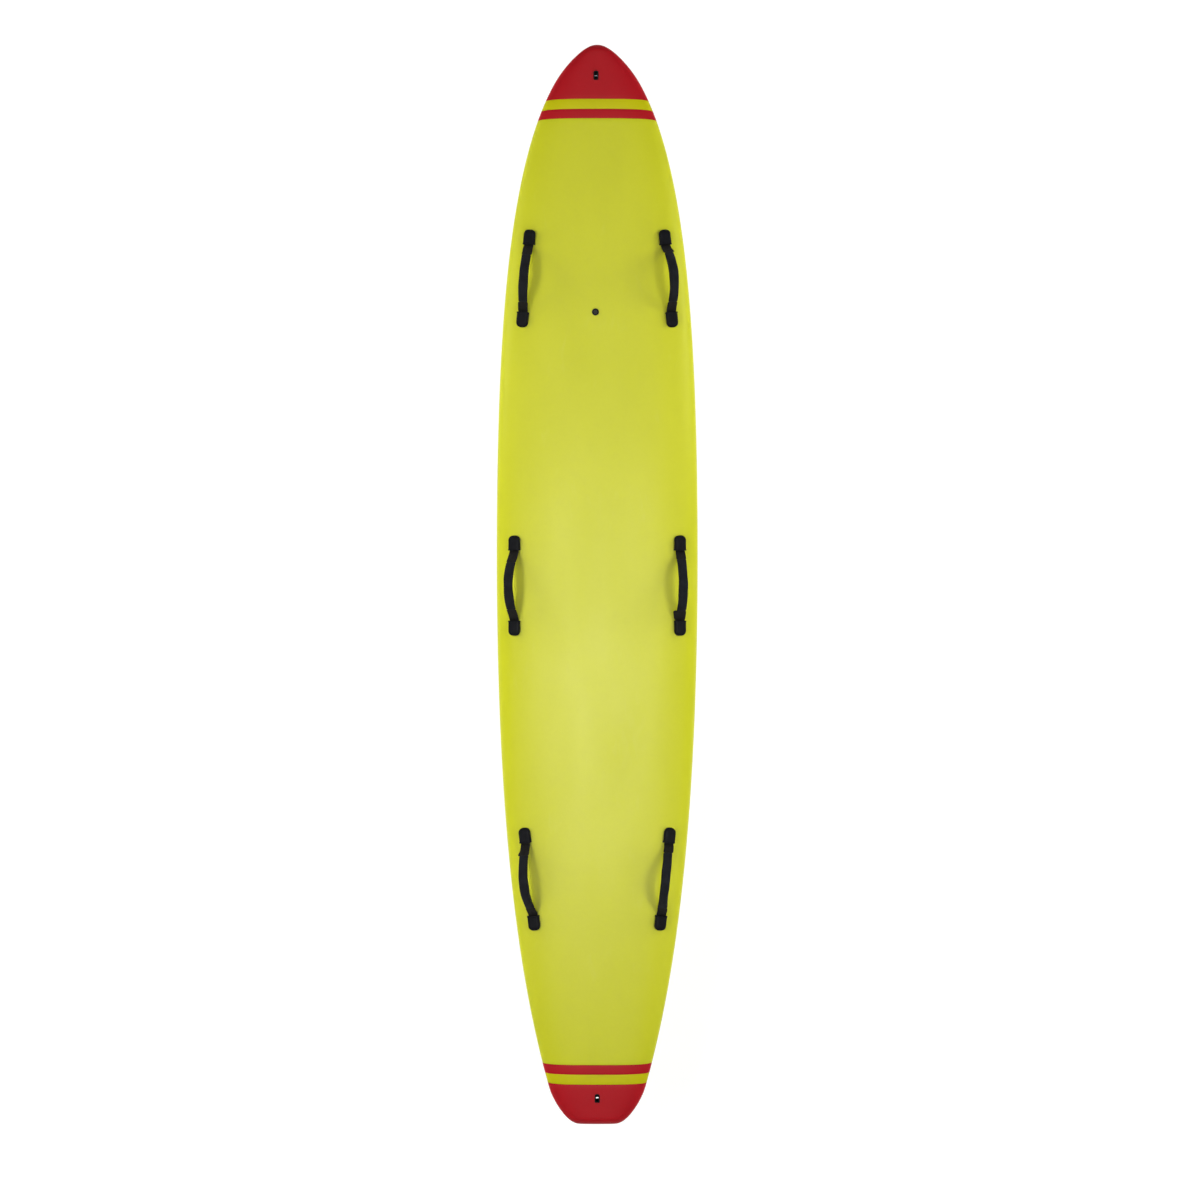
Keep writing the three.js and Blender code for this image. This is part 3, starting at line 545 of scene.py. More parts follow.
class Pattern(Enum):
    """The relief of a finish. Each is a node group with a Height and a slowly changing Tone."""

    CELLS = "closed_cells"
    STIPPLE = "moulded_stipple"
    WEAVE = "plain_weave"
    KNIT = "ribbed_knit"
    BRUSHED = "brushed_metal"
    BEADS = "foam_beads"
    PLIES = "wood_plies"

    @lru_cache(maxsize=None)
    def group(self) -> bpy.types.NodeTree:
        """Builds the pattern's node group, once.

        Returns:
            The group.
        """
        group, sketch, source, result = new_group(self.value, PATTERN_INPUTS, PATTERN_OUTPUTS)
        vector, size = source["Vector"], source["Size"]
        height, tone = getattr(self, "_" + self.value)(sketch, vector, sketch.maths("DIVIDE", 1.0, size))
        sketch.feed(result["Height"], height)
        sketch.feed(result["Tone"], tone)
        return group

    @staticmethod
    def _closed_cells(sketch: Sketch, vector: object, scale: object) -> tuple:
        """Draws foam: cells that are high in their middles, over lumps. Drift and speckles make its tone.

        Args:
            sketch: The group's sketch.
            vector: Where on the piece.
            scale: Cells to a metre.

        Returns:
            The height and the tone.
        """
        cell_share, lump_scale = -0.7, 0.35
        drift_stretch, drift_scale = (1.0, 0.35, 1.0), 7.0
        speckle_scale, speckle_share = 0.12, 0.35
        low, high = 0.45, 0.95
        cells = sketch.node("TexVoronoi")
        sketch.feed(cells.inputs["Vector"], vector)
        sketch.feed(cells.inputs["Scale"], scale)
        lumps = sketch.noise(vector, sketch.maths("MULTIPLY", scale, lump_scale), detail=4.0)
        height = sketch.maths("MULTIPLY_ADD", cells.outputs["Distance"], cell_share, lumps)
        drift = sketch.noise(sketch.stretched(vector, drift_stretch), drift_scale, detail=5.0)
        speckle = sketch.noise(vector, sketch.maths("MULTIPLY", scale, speckle_scale), detail=2.0)
        return height, sketch.ramp(sketch.maths("MULTIPLY_ADD", speckle, speckle_share, drift), low, high)

    @staticmethod
    def _moulded_stipple(sketch: Sketch, vector: object, scale: object) -> tuple:
        """Draws spark-eroded grain: a noise, and a finer and fainter one on it.

        Args:
            sketch: The group's sketch.
            vector: Where on the piece.
            scale: Cells to a metre.

        Returns:
            The height and the tone.
        """
        fineness, fine_share, drift_scale = 4.0, 0.4, 45.0
        low, high = 0.35, 0.65
        coarse = sketch.noise(vector, scale, detail=2.0)
        fine = sketch.noise(vector, sketch.maths("MULTIPLY", scale, fineness), detail=2.0)
        drift = sketch.noise(vector, drift_scale)
        return sketch.maths("MULTIPLY_ADD", fine, fine_share, coarse), sketch.ramp(drift, low, high)

    @staticmethod
    def _threads(sketch: Sketch, vector: object, scale: object) -> tuple:
        """Works out how high threads 1 wide stand: |sin(pi u)| along and |sin(pi v)| across.

        Args:
            sketch: The group's sketch.
            vector: Where on the piece.
            scale: How many threads there are to a metre.

        Returns:
            The heights along and across, and u and v.
        """
        parts = sketch.node("SeparateXYZ")
        sketch.feed(parts.inputs[0], vector)
        u = sketch.maths("MULTIPLY", parts.outputs[0], scale)
        v = sketch.maths("MULTIPLY", parts.outputs[1], scale)
        along = sketch.maths("ABSOLUTE", sketch.maths("SINE", sketch.maths("MULTIPLY", u, math.pi)))
        across = sketch.maths("ABSOLUTE", sketch.maths("SINE", sketch.maths("MULTIPLY", v, math.pi)))
        return along, across, u, v

    @staticmethod
    def _plain_weave(sketch: Sketch, vector: object, scale: object) -> tuple:
        """Draws a weave: which thread is on top follows from whether floor(u) + floor(v) is even or odd.

        Args:
            sketch: The group's sketch.
            vector: Where on the piece.
            scale: Cells to a metre.

        Returns:
            The height and the tone.
        """
        drift_scale, height_share = 60.0, 0.3
        low, high = 0.35, 0.95
        along, across, u, v = Pattern._threads(sketch, vector, scale)
        cell = sketch.maths("ADD", sketch.maths("FLOOR", u), sketch.maths("FLOOR", v))
        parity = sketch.maths("ABSOLUTE", sketch.maths("MODULO", cell, 2.0))
        over = sketch.maths("MULTIPLY", along, sketch.maths("SUBTRACT", 1.0, parity))
        height = sketch.maths("MULTIPLY_ADD", across, parity, over)
        drift = sketch.noise(vector, drift_scale)
        return height, sketch.ramp(sketch.maths("MULTIPLY_ADD", height, height_share, drift), low, high)

    @staticmethod
    def _ribbed_knit(sketch: Sketch, vector: object, scale: object) -> tuple:
        """Draws a knitted face: ribs along it, and lower rows of stitches across.

        Args:
            sketch: The group's sketch.
            vector: Where on the piece.
            scale: Cells to a metre.

        Returns:
            The height and the tone.
        """
        stitch_share, drift_scale = 0.5, 40.0
        low, high = 0.35, 0.65
        along, across, _, _ = Pattern._threads(sketch, vector, scale)
        height = sketch.maths("MULTIPLY_ADD", across, stitch_share, along)
        return height, sketch.ramp(sketch.noise(vector, drift_scale, detail=4.0), low, high)

    @staticmethod
    def _brushed_metal(sketch: Sketch, vector: object, scale: object) -> tuple:
        """Draws fine lines: a noise that is drawn out twentyfold.

        Args:
            sketch: The group's sketch.
            vector: Where on the piece.
            scale: Cells to a metre.

        Returns:
            The height and the tone.
        """
        drawn_out = (1.0, 1.0, 0.05)
        low, high = 0.3, 0.7
        lines = sketch.noise(sketch.stretched(vector, drawn_out), scale)
        return lines, sketch.ramp(lines, low, high)

    @staticmethod
    def _foam_beads(sketch: Sketch, vector: object, scale: object) -> tuple:
        """Draws pressed beads: cells of height 1 - d * d at a distance d, each a little lighter or darker.

        Args:
            sketch: The group's sketch.
            vector: Where on the piece.
            scale: Cells to a metre.

        Returns:
            The height and the tone.
        """
        cells = sketch.node("TexVoronoi")
        sketch.feed(cells.inputs["Vector"], vector)
        sketch.feed(cells.inputs["Scale"], scale)
        distance = cells.outputs["Distance"]
        height = sketch.maths("SUBTRACT", 1.0, sketch.maths("MULTIPLY", distance, distance))
        return height, cells.outputs["Color"]

    @staticmethod
    def _wood_plies(sketch: Sketch, vector: object, scale: object) -> tuple:
        """Draws veneers that lie on each other along Z, with their grain along Y.

        Args:
            sketch: The group's sketch.
            vector: Where on the piece.
            scale: Cells to a metre.

        Returns:
            The height and the tone.
        """
        layer_rate, layer_share, drawn_out = 3.0, 0.15, (1.0, 0.04, 1.0)
        low, high = 0.2, 0.8
        parts = sketch.node("SeparateXYZ")
        sketch.feed(parts.inputs[0], vector)
        rate = sketch.maths("MULTIPLY", scale, layer_rate)
        layer = sketch.maths("SINE", sketch.maths("MULTIPLY", parts.outputs[2], rate))
        grain = sketch.noise(sketch.stretched(vector, drawn_out), scale, detail=5.0, distortion=0.4)
        return grain, sketch.ramp(sketch.maths("MULTIPLY_ADD", layer, layer_share, grain), low, high)


@lru_cache(maxsize=None)
def scuff_group() -> bpy.types.NodeTree:
    """Builds the rubbed marks, once: a warped noise drawn out along Y times a slow one, cut off high.

    Its Cover lowers the cut.

    Returns:
        The group.
    """
    drawn_out, mark_scale, patch_scale = (1.0, 0.3, 1.0), 28.0, 6.0
    bare_cut, cut_by_cover, cut_softness = 0.42, -0.16, 0.12
    inputs = (("Vector", "Vector"), ("Cover", "Float"))
    group, sketch, source, result = new_group("scuffs", inputs, ("Mask",))
    long = sketch.stretched(source["Vector"], drawn_out)
    marks = sketch.noise(long, mark_scale, detail=8.0, distortion=1.2)
    patch = sketch.noise(source["Vector"], patch_scale, detail=2.0)
    both = sketch.maths("MULTIPLY", marks, patch)
    cut = sketch.maths("MULTIPLY_ADD", source["Cover"], cut_by_cover, bare_cut)
    sketch.feed(result["Mask"], sketch.ramp(both, cut, sketch.maths("ADD", cut, cut_softness)))
    return group


@dataclass(frozen=True)
class Finish:
    """One finish of the board: its colours, its relief and how it takes light.

    The base colour runs from `light` to `dark` with the pattern's tone and towards `worn` where scuffs are.
    `size` is one cell of the pattern and `relief` its depth. The roughness runs with the tone as well.
    """

    name: str
    slot: str
    light: Colour
    dark: Colour
    pattern: Pattern
    size: float
    relief: float
    roughness: tuple[float, float]
    worn: Colour = (0.6, 0.6, 0.6)
    wear: float = 0.0
    cover: float = 0.4
    metallic: float = 0.0
    specular: float = 0.5
    sheen: float = 0.0
    sheen_roughness: float = 0.5
    coat: float = 0.0
    on_map: bool = False

    @lru_cache(maxsize=None)
    def material(self) -> bpy.types.Material:
        """Builds the material, once.

        Returns:
            The material.
        """
        made = bpy.data.materials.new(self.name)
        made.use_nodes = True
        sketch = Sketch(made.node_tree)
        shader = made.node_tree.nodes["Principled BSDF"]
        place = sketch.node("TexCoord").outputs["UV" if self.on_map else "Object"]
        pattern = sketch.node("Group", node_tree=self.pattern.group())
        sketch.feed(pattern.inputs["Vector"], place)
        pattern.inputs["Size"].default_value = self.size
        scuffs = sketch.node("Group", node_tree=scuff_group())
        sketch.feed(scuffs.inputs["Vector"], sketch.node("TexCoord").outputs["Object"])
        scuffs.inputs["Cover"].default_value = self.cover
        tone, height = pattern.outputs["Tone"], pattern.outputs["Height"]
        rubbed = sketch.maths("MULTIPLY", scuffs.outputs["Mask"], self.wear)
        base = sketch.blend(tone, (*self.light, 1.0), (*self.dark, 1.0))
        sketch.feed(shader.inputs["Base Color"], sketch.blend(rubbed, base, (*self.worn, 1.0)))
        rough = sketch.ramp(tone, 0.0, 1.0, *self.roughness)
        sketch.feed(shader.inputs["Roughness"], sketch.maths("MULTIPLY_ADD", rubbed, SCUFF_ROUGHNESS, rough))
        bump = sketch.node("Bump")
        bump.inputs["Distance"].default_value = self.relief
        bump.inputs["Strength"].default_value = BUMP_STRENGTH
        sketch.feed(bump.inputs["Height"], height)
        sketch.feed(shader.inputs["Normal"], bump.outputs["Normal"])
        shader.inputs["Metallic"].default_value = self.metallic
        shader.inputs["Specular IOR Level"].default_value = self.specular
        shader.inputs["Sheen Weight"].default_value = self.sheen
        shader.inputs["Sheen Roughness"].default_value = self.sheen_roughness
        shader.inputs["Coat Weight"].default_value = self.coat
        return made


FOAM = {"pattern": Pattern.CELLS, "size": 0.0009, "relief": 0.00010, "roughness": (0.42, 0.52), "wear": 0.12}
LIME_FOAM = Finish(
    "lime_foam", "deck_lime", light=(0.592, 0.606, 0.006), dark=(0.562, 0.579, 0.004),
    worn=(0.63, 0.64, 0.08), specular=0.20, **FOAM,
)
YELLOW_FOAM = Finish(
    "yellow_foam", "deck_yellow", light=(0.59, 0.555, 0.002), dark=(0.55, 0.52, 0.001),
    worn=(0.62, 0.59, 0.05), specular=0.08, **FOAM,
)
RED_FOAM = Finish(
    "red_foam", "deck_red", light=(0.455, 0.0060, 0.0130), dark=(0.415, 0.0050, 0.0105),
    worn=(0.48, 0.03, 0.04), specular=0.08, **FOAM,
)
SLICK_SKIN = Finish(
    "slick_skin", "bottom_skin", light=(0.62, 0.64, 0.06), dark=(0.58, 0.60, 0.04),
    pattern=Pattern.STIPPLE, size=0.004, relief=0.00004, roughness=(0.20, 0.30),
    worn=(0.70, 0.71, 0.30), wear=0.12, cover=0.55, coat=0.25,
)
LAMINATE = Finish(
    "glass_laminate", "deck_laminate", light=(0.70, 0.66, 0.52), dark=(0.60, 0.56, 0.42),
    pattern=Pattern.WEAVE, size=0.0012, relief=0.0001, roughness=(0.30, 0.45),
    coat=0.3,
)
BEAD_FOAM = Finish(
    "bead_foam", "foam_core", light=(0.90, 0.90, 0.87), dark=(0.80, 0.80, 0.78),
    pattern=Pattern.BEADS, size=0.004, relief=0.0006, roughness=(0.75, 0.90),
)
PLYWOOD = Finish(
    "plywood", "stringer_ply", light=(0.52, 0.33, 0.15), dark=(0.34, 0.19, 0.08),
    pattern=Pattern.PLIES, size=0.004, relief=0.00015, roughness=(0.55, 0.75),
)
SLEEVE_CLOTH = Finish(
    "sleeve_cloth", "handle_sleeve", light=(0.0075, 0.0085, 0.0110), dark=(0.0045, 0.0050, 0.0065),
    pattern=Pattern.KNIT, size=0.0011, relief=0.00016, roughness=(0.62, 0.80),
    worn=(0.03, 0.03, 0.036), wear=0.25, specular=0.05, sheen=0.03, on_map=True,
)
WEBBING_CLOTH = Finish(
    "webbing_cloth", "handle_webbing", light=(0.0110, 0.0100, 0.0085), dark=(0.0055, 0.0050, 0.0042),
    pattern=Pattern.WEAVE, size=0.0014, relief=0.00030, roughness=(0.65, 0.80),
    worn=(0.04, 0.037, 0.033), wear=0.2, specular=0.05, sheen=0.03, on_map=True,
)
CAP_PLASTIC = Finish(
    "cap_plastic", "handle_cap", light=(0.0050, 0.0052, 0.0066), dark=(0.0036, 0.0037, 0.0048),
    pattern=Pattern.STIPPLE, size=0.0011, relief=0.00006, roughness=(0.46, 0.58),
    worn=(0.03, 0.03, 0.033), wear=0.2, specular=0.035,
)
FITTING_PLASTIC = Finish(
    "fitting_plastic", "tow_cup", light=(0.0040, 0.0040, 0.0048), dark=(0.0028, 0.0028, 0.0033),
    pattern=Pattern.STIPPLE, size=0.0010, relief=0.00004, roughness=(0.42, 0.52),
    worn=(0.03, 0.03, 0.033), wear=0.2, specular=0.045,
)
SCREW_PLASTIC = Finish(
    "screw_plastic", "vent_plastic", light=(0.0300, 0.0330, 0.0260), dark=(0.0230, 0.0250, 0.0200),
    pattern=Pattern.STIPPLE, size=0.0010, relief=0.00004, roughness=(0.45, 0.55),
    worn=(0.06, 0.06, 0.055), wear=0.3, specular=0.08,
)
STAINLESS = Finish(
    "stainless", "tow_pin", light=(0.40, 0.39, 0.38), dark=(0.28, 0.27, 0.27),
    pattern=Pattern.BRUSHED, size=0.0006, relief=0.00003, roughness=(0.36, 0.50),
    metallic=1.0,
)
# A darker copy of the stainless finish: its low base colour is painted shade on the nose pin in its cup.
SHADED_STEEL = Finish(
    "shaded_steel", "tow_pin", light=(0.10, 0.10, 0.11), dark=(0.06, 0.06, 0.07),
    pattern=Pattern.BRUSHED, size=0.0006, relief=0.00003, roughness=(0.35, 0.50),
    metallic=1.0,
)
BRASS = Finish(
    "satin_brass", "fin_plate", light=(0.62, 0.42, 0.14), dark=(0.48, 0.31, 0.09),
    pattern=Pattern.BRUSHED, size=0.0008, relief=0.00003, roughness=(0.28, 0.42),
    metallic=1.0,
)
SEAL_RUBBER = Finish(
    "seal_rubber", "vent_seal", light=(0.012, 0.012, 0.012), dark=(0.008, 0.008, 0.008),
    pattern=Pattern.STIPPLE, size=0.0008, relief=0.00003, roughness=(0.50, 0.60),
)
FIN_URETHANE = Finish(
    "fin_urethane", "fin_flex", light=(0.017, 0.018, 0.021), dark=(0.011, 0.012, 0.014),
    pattern=Pattern.STIPPLE, size=0.0016, relief=0.00005, roughness=(0.38, 0.52),
    worn=(0.08, 0.08, 0.085), wear=0.3, cover=0.6,
)


def finish_piece(
    piece: bpy.types.Object, finish: Finish, body: str, nodes: tuple[str, ...]
) -> bpy.types.Object:
    """Dresses a new piece, hides the CAD nodes that it replaces, and lets it ride on a body.

    Args:
        piece: The piece.
        finish: Its finish.
        body: The body it moves with.
        nodes: The CAD nodes that it replaces.

    Returns:
        The piece.
    """
    dress(piece, finish)
    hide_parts(*nodes)
    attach(piece, body)
    return piece


def dress(piece: bpy.types.Object, finish: Finish) -> None:
    """Gives a piece its finish as its one material, and reports it.

    Args:
        piece: The piece.
        finish: Its finish.
    """
    piece.data.materials.clear()
    piece.data.materials.append(finish.material())
    LOG.info("%s: %d faces, %s", piece.name, len(piece.data.polygons), finish.name)


# Hull


@dataclass(frozen=True)
class Hull:
    """The board's outside: its outline from above, its profile from the side and its section from behind."""

    length: float = 3.2
    width: float = 0.602
    widest_from_middle: float = 0.1
    nose_tip_reach: float = 0.0335
    nose_shoulder: tuple[float, float] = (0.1296, 0.1154)
    nose_angle: float = math.radians(29.8)
    nose_reaches: tuple[float, float] = (0.0736, 0.2938)
    nose_middle_reach: float = 0.6002
    tail_end_half_width: float = 0.05
    tail_corner_reach: float = 0.0437
    tail_shoulder: tuple[float, float] = (0.1432, 0.1067)
    tail_angle: float = math.radians(16.0)
    tail_reaches: tuple[float, float] = (0.0285, 0.3567)
    tail_middle_reach: float = 0.7722
    depth: float = 0.146
    tip_depths: tuple[float, float] = (0.042, 0.048)
    foil_powers: tuple[float, float] = (2.6, 2.4)
    rockers: tuple[float, float] = (0.14, 0.055)
    rocker_powers: tuple[float, float] = (2.3, 2.0)
    flat_half_run: float = 0.31
    end_rounding: float = 0.025
    seam_height_share: float = 0.44
    crown_powers: tuple[float, float] = (3.2, 2.8)
    belly_flat_share: float = 0.62
    belly_power: float = 2.2
    row_step: float = 0.014
    crown_columns: int = 34
    flat_columns: int = 8
    belly_columns: int = 22
    tip_rows: int = 18
    curve_steps: int = 1200
    edge_shares: tuple[float, ...] = (0.0, 0.12, 0.35, 0.65, 1.0)
    fewest_rows: int = 4
    row_digits: int = 7
    probe: float = 0.00146
    settling_steps: int = 6

    @lru_cache(maxsize=None)
    def outline(self, inset: float = 0.0) -> tuple[Array, Array]:
        """Follows the right rail from nose to tail: four Bezier curves, moved in square to themselves.

        Args:
            inset: How far inside the rail the line runs.

        Returns:
            The half widths and the places along the board, from the tail to the nose.
        """
        half = self.length / 2
        nose = np.array([self.nose_shoulder[0], half - self.nose_shoulder[1]])
        tail = np.array([self.tail_shoulder[0], self.tail_shoulder[1] - half])
        widest = np.array([self.width / 2, self.widest_from_middle])
        to_tail = np.array([math.sin(self.nose_angle), -math.cos(self.nose_angle)])
        to_nose = np.array([math.sin(self.tail_angle), math.cos(self.tail_angle)])
        tail_end = np.array([self.tail_end_half_width, -half])
        corner = tail_end + [self.tail_corner_reach, 0.0]
        curves = (
            ([0.0, half], [self.nose_tip_reach, half], nose - to_tail * self.nose_reaches[0], nose),
            (nose, nose + to_tail * self.nose_reaches[1], widest + [0.0, self.nose_middle_reach], widest),
            (widest, widest - [0.0, self.tail_middle_reach], tail + to_nose * self.tail_reaches[1], tail),
            (tail, tail - to_nose * self.tail_reaches[0], corner, tail_end),
        )
        shares = np.linspace(0.0, 1.0, self.curve_steps)
        runs = [bezier(np.array(controls), shares) for controls in curves]
        points = np.vstack([run[0] for run in runs])
        along = np.vstack([run[1] for run in runs])
        inner = points - inset * np.stack([-along[:, 1], along[:, 0]], axis=1)
        return inner[::-1, 0], inner[::-1, 1]

    def half_width(self, y: Array, inset: float = 0.0) -> Array:
        """Returns half the board's width at places along it."""
        widths, places = self.outline(inset)
        return np.interp(y, places, widths)

    def rocker(self, y: Array) -> Array:
        """Works out how far the bottom has risen: a power of the share of the way from the flat to the end.

        Args:
            y: Places along the board.

        Returns:
            The rise at each place.
        """
        share = np.maximum(0.0, np.abs(y) - self.flat_half_run) / (self.length / 2 - self.flat_half_run)
        nose = self.rockers[0] * share ** self.rocker_powers[0]
        tail = self.rockers[1] * share ** self.rocker_powers[1]
        return np.where(y > 0, nose, tail)

    def thickness(self, y: Array) -> Array:
        """Works out the board's depth: it falls off with a power of the share of the way to an end.

        Args:
            y: Places along the board.

        Returns:
            The depth at each place.
        """
        share = np.abs(y) / (self.length / 2)
        nose = self.depth - (self.depth - self.tip_depths[0]) * share ** self.foil_powers[0]
        tail = self.depth - (self.depth - self.tip_depths[1]) * share ** self.foil_powers[1]
        return np.where(y > 0, nose, tail)

    def end_share(self, y: Array) -> Array:
        """Returns the share of the height that the round ends leave: a quarter circle over the rounding."""
        share = np.clip((self.length / 2 - np.abs(y)) / self.end_rounding, 0.0, 1.0)
        return np.sqrt(1.0 - (1.0 - share) ** 2)

    def crown(self, column: Array) -> Array:
        """Returns the deck's height over the seam as a share, (1 - |c| ** a) ** (1 / b)."""
        a, b = self.crown_powers
        return np.maximum(0.0, 1.0 - np.abs(column) ** a) ** (1.0 / b)

    def belly(self, column: Array) -> Array:
        """Returns the bottom's depth under the seam as a share: flat, then a quarter of a superellipse."""
        past = np.maximum(0.0, np.abs(column) - self.belly_flat_share) / (1.0 - self.belly_flat_share)
        return np.maximum(0.0, 1.0 - past**self.belly_power) ** (1.0 / self.belly_power)

    def height(self, side: str, y: Array, column: Array, depth: Array, drop: float = 0.0) -> Array:
        """Works out heights on the deck or the bottom.

        Args:
            side: "deck" or "bottom".
            y: Places along the board.
            column: Shares of the half width there.
            depth: How far inside the skin.
            drop: How far the surface's rim lies under the seam.

        Returns:
            The heights.
        """
        thickness = self.thickness(y)
        rim = self.rocker(y) + self.seam_height_share * thickness - drop
        if side == "deck":
            rise = (1.0 - self.seam_height_share) * thickness + drop - depth
            return rim + rise * self.end_share(y) * self.crown(column)
        fall = self.seam_height_share * thickness - drop - depth
        return rim - fall * self.end_share(y) * self.belly(column)

    def columns(self, side: str) -> Array:
        """Spreads a grid's columns, closer together where the section turns to the seam.

        Args:
            side: "deck" or "bottom".

        Returns:
            Shares of the half width, from left to right.
        """
        if side == "deck":
            t = np.linspace(0.0, 1.0, self.crown_columns)
            right = 1.0 - (1.0 - t) ** self.crown_powers[1]
        else:
            t = np.linspace(0.0, 1.0, self.belly_columns)[1:]
            flat = np.linspace(0.0, self.belly_flat_share, self.flat_columns)
            round_part = 1.0 - (1.0 - self.belly_flat_share) * (1.0 - t) ** self.belly_power
            right = np.concatenate([flat, round_part])
        return np.concatenate([-right[:0:-1], right])

    def rows(self, fore: float, aft: float, edge: float = 0.0) -> Array:
        """Spreads a grid's rows, closer together at a round end of the board and at an edge.

        Args:
            fore: Where the first row is.
            aft: Where the last row is.
            edge: How far the rounding of the piece's edges reaches.

        Returns:
            Places along the board, from fore to aft.
        """
        half = self.length / 2
        plain = np.linspace(aft, fore, max(self.fewest_rows, math.ceil((fore - aft) / self.row_step)))
        lift = self.end_rounding * (1.0 - np.cos(np.linspace(0.0, math.pi / 2, self.tip_rows)))
        edges = edge * np.array(self.edge_shares)
        every = np.concatenate([plain, half - lift, lift - half, aft + edges, fore - edges])
        inside = np.unique(np.round(every[(every >= aft) & (every <= fore)], self.row_digits))
        return inside[::-1]

    def grid(self, side: str, rows: Array, depth: Array, drop: float = 0.0, inset: float = 0.0) -> Array:
        """Lays a grid on a surface inside the skin.

        Near an end the rows are drawn in evenly, so that the surface ends inside the skin by the inset.

        Args:
            side: "deck" or "bottom".
            rows: Places along the board.
            depth: Depth inside the skin, one for each row or one for all.
            drop: How far its rim lies under the seam.
            inset: How far its rim lies inside the rail.

        Returns:
            Rows by columns by 3 coordinates.
        """
        from_end = np.clip((self.length / 2 - np.abs(rows)) / self.end_rounding, 0.0, 1.0)
        drawn = rows - np.sign(rows) * inset * (1.0 - from_end)
        column = self.columns(side)[None, :]
        depth = np.broadcast_to(depth, rows.shape)[:, None]
        x = self.half_width(drawn, inset)[:, None] * column
        z = self.height(side, rows[:, None], column, depth, drop)
        return np.stack([x, drawn[:, None] + 0 * x, z], axis=-1)

    def skin(self, side: str, x: Array, y: Array) -> Array:
        """Returns points of the skin over places (x, y)."""
        column = np.clip(x / self.half_width(y), -1.0, 1.0)
        return np.stack([x, y, self.height(side, y, column, 0.0)], axis=-1)

    def place(self, side: str, x: float, y: float, heading: Array = TO_NOSE) -> Place:
        """Finds a frame on the skin: its third direction is square to it and up, its second on a heading.

        Args:
            side: "deck" or "bottom".
            x: Its place across the board.
            y: Its place along the board.
            heading: What the second direction is as near to as can be.

        Returns:
            The frame.
        """
        probe = self.probe
        at = np.array([[x + probe, y], [x - probe, y], [x, y + probe], [x, y - probe], [x, y]])
        points = self.skin(side, at[:, 0], at[:, 1])
        up = np.cross(points[0] - points[1], points[2] - points[3])
        up /= np.linalg.norm(up)
        forward = heading - up * (heading @ up)
        forward /= np.linalg.norm(forward)
        return Place(points[4], np.array([np.cross(forward, up), forward, up]))

    def height_in(self, place: Place, x: Array, y: Array) -> Array:
        """Finds the deck's height in a frame by steps that each make up what is left, a Newton's method.

        Args:
            place: The frame.
            x: Places along its first direction.
            y: Places along its second.

        Returns:
            The heights along its third.
        """
        z = np.zeros(np.broadcast(x, y).shape)
        for _ in range(self.settling_steps):
            point = place.world(np.stack(np.broadcast_arrays(x, y, z), axis=-1))
            deck = self.skin("deck", point[..., 0], point[..., 1])
            z = z + (deck[..., 2] - point[..., 2]) * place.axes[2, 2]
        return z


HULL = Hull()


# Deck and bottom


class DeckPad(Enum):
    """The deck pads: how far from the nose tip or the tail end each starts and ends, and its finish."""

    nose_pad = ("nose", 0.0, 0.161, RED_FOAM)
    nose_band = ("nose", 0.161, 0.190, YELLOW_FOAM)
    nose_stripe = ("nose", 0.190, 0.217, RED_FOAM)
    main_deck_pad = ("both", 0.217, 0.185, LIME_FOAM)
    tail_stripe = ("tail", 0.156, 0.185, RED_FOAM)
    tail_band = ("tail", 0.126, 0.156, YELLOW_FOAM)
    tail_pad = ("tail", 0.0, 0.126, RED_FOAM)


@dataclass
class Deck:
    """The foam deck: pads laid edge to edge, with a rounded edge at each joint."""

    hull: Hull = HULL
    thickness: float = 0.005
    edge_radius: float = 0.0009
    pieces: dict[str, bpy.types.Object] = field(default_factory=dict)

    def span(self, pad: DeckPad) -> tuple[float, float]:
        """Works out where a pad starts and ends, half a gap inside each joint.

        Args:
            pad: The pad.

        Returns:
            The places along the board of its nose end and its tail end.
        """
        end, first, second, _ = pad.value
        half = self.hull.length / 2
        if end == "nose":
            fore, aft = half - first, half - second
        elif end == "tail":
            fore, aft = second - half, first - half
        else:
            fore, aft = half - first, second - half
        fore = fore - GAP / 2 if fore < half else half
        aft = aft + GAP / 2 if aft > -half else -half
        return fore, aft

    def build(self) -> None:
        """Makes each pad: its top, its underside and the strips round them.

        The top sinks by r - sqrt(r * r - (r - d) * (r - d)) at a distance d under r from a joint.
        """
        half = self.hull.length / 2
        for pad in DeckPad:
            fore, aft = self.span(pad)
            rows = self.hull.rows(fore, aft, self.edge_radius)
            from_joint = np.minimum(
                fore - rows if fore < half else np.full(rows.shape, half),
                rows - aft if aft > -half else np.full(rows.shape, half),
            )
            short = np.clip(self.edge_radius - from_joint, 0.0, self.edge_radius)
            sunk = self.edge_radius - np.sqrt(self.edge_radius**2 - short**2)
            shell = Shell()
            upper = shell.grid(self.hull.grid("deck", rows, sunk))
            lower = shell.grid(self.hull.grid("deck", rows, self.thickness, inset=self.thickness))
            shell.close(upper, lower)
            self.pieces[pad.name] = shell.build(f"{pad.name}_foam")

    def bore(self, pad: DeckPad, tools: list[bpy.types.Object]) -> None:
        """Cuts openings for fittings and screws in a pad."""
        joined(self.pieces[pad.name], tools, Joining.CUT)

    def dress(self) -> None:
        """Gives the pads their finishes and lets them ride on the board."""
        for pad in DeckPad:
            piece = self.pieces[pad.name]
            finish_piece(piece, pad.value[3], "board", (pad.name,))


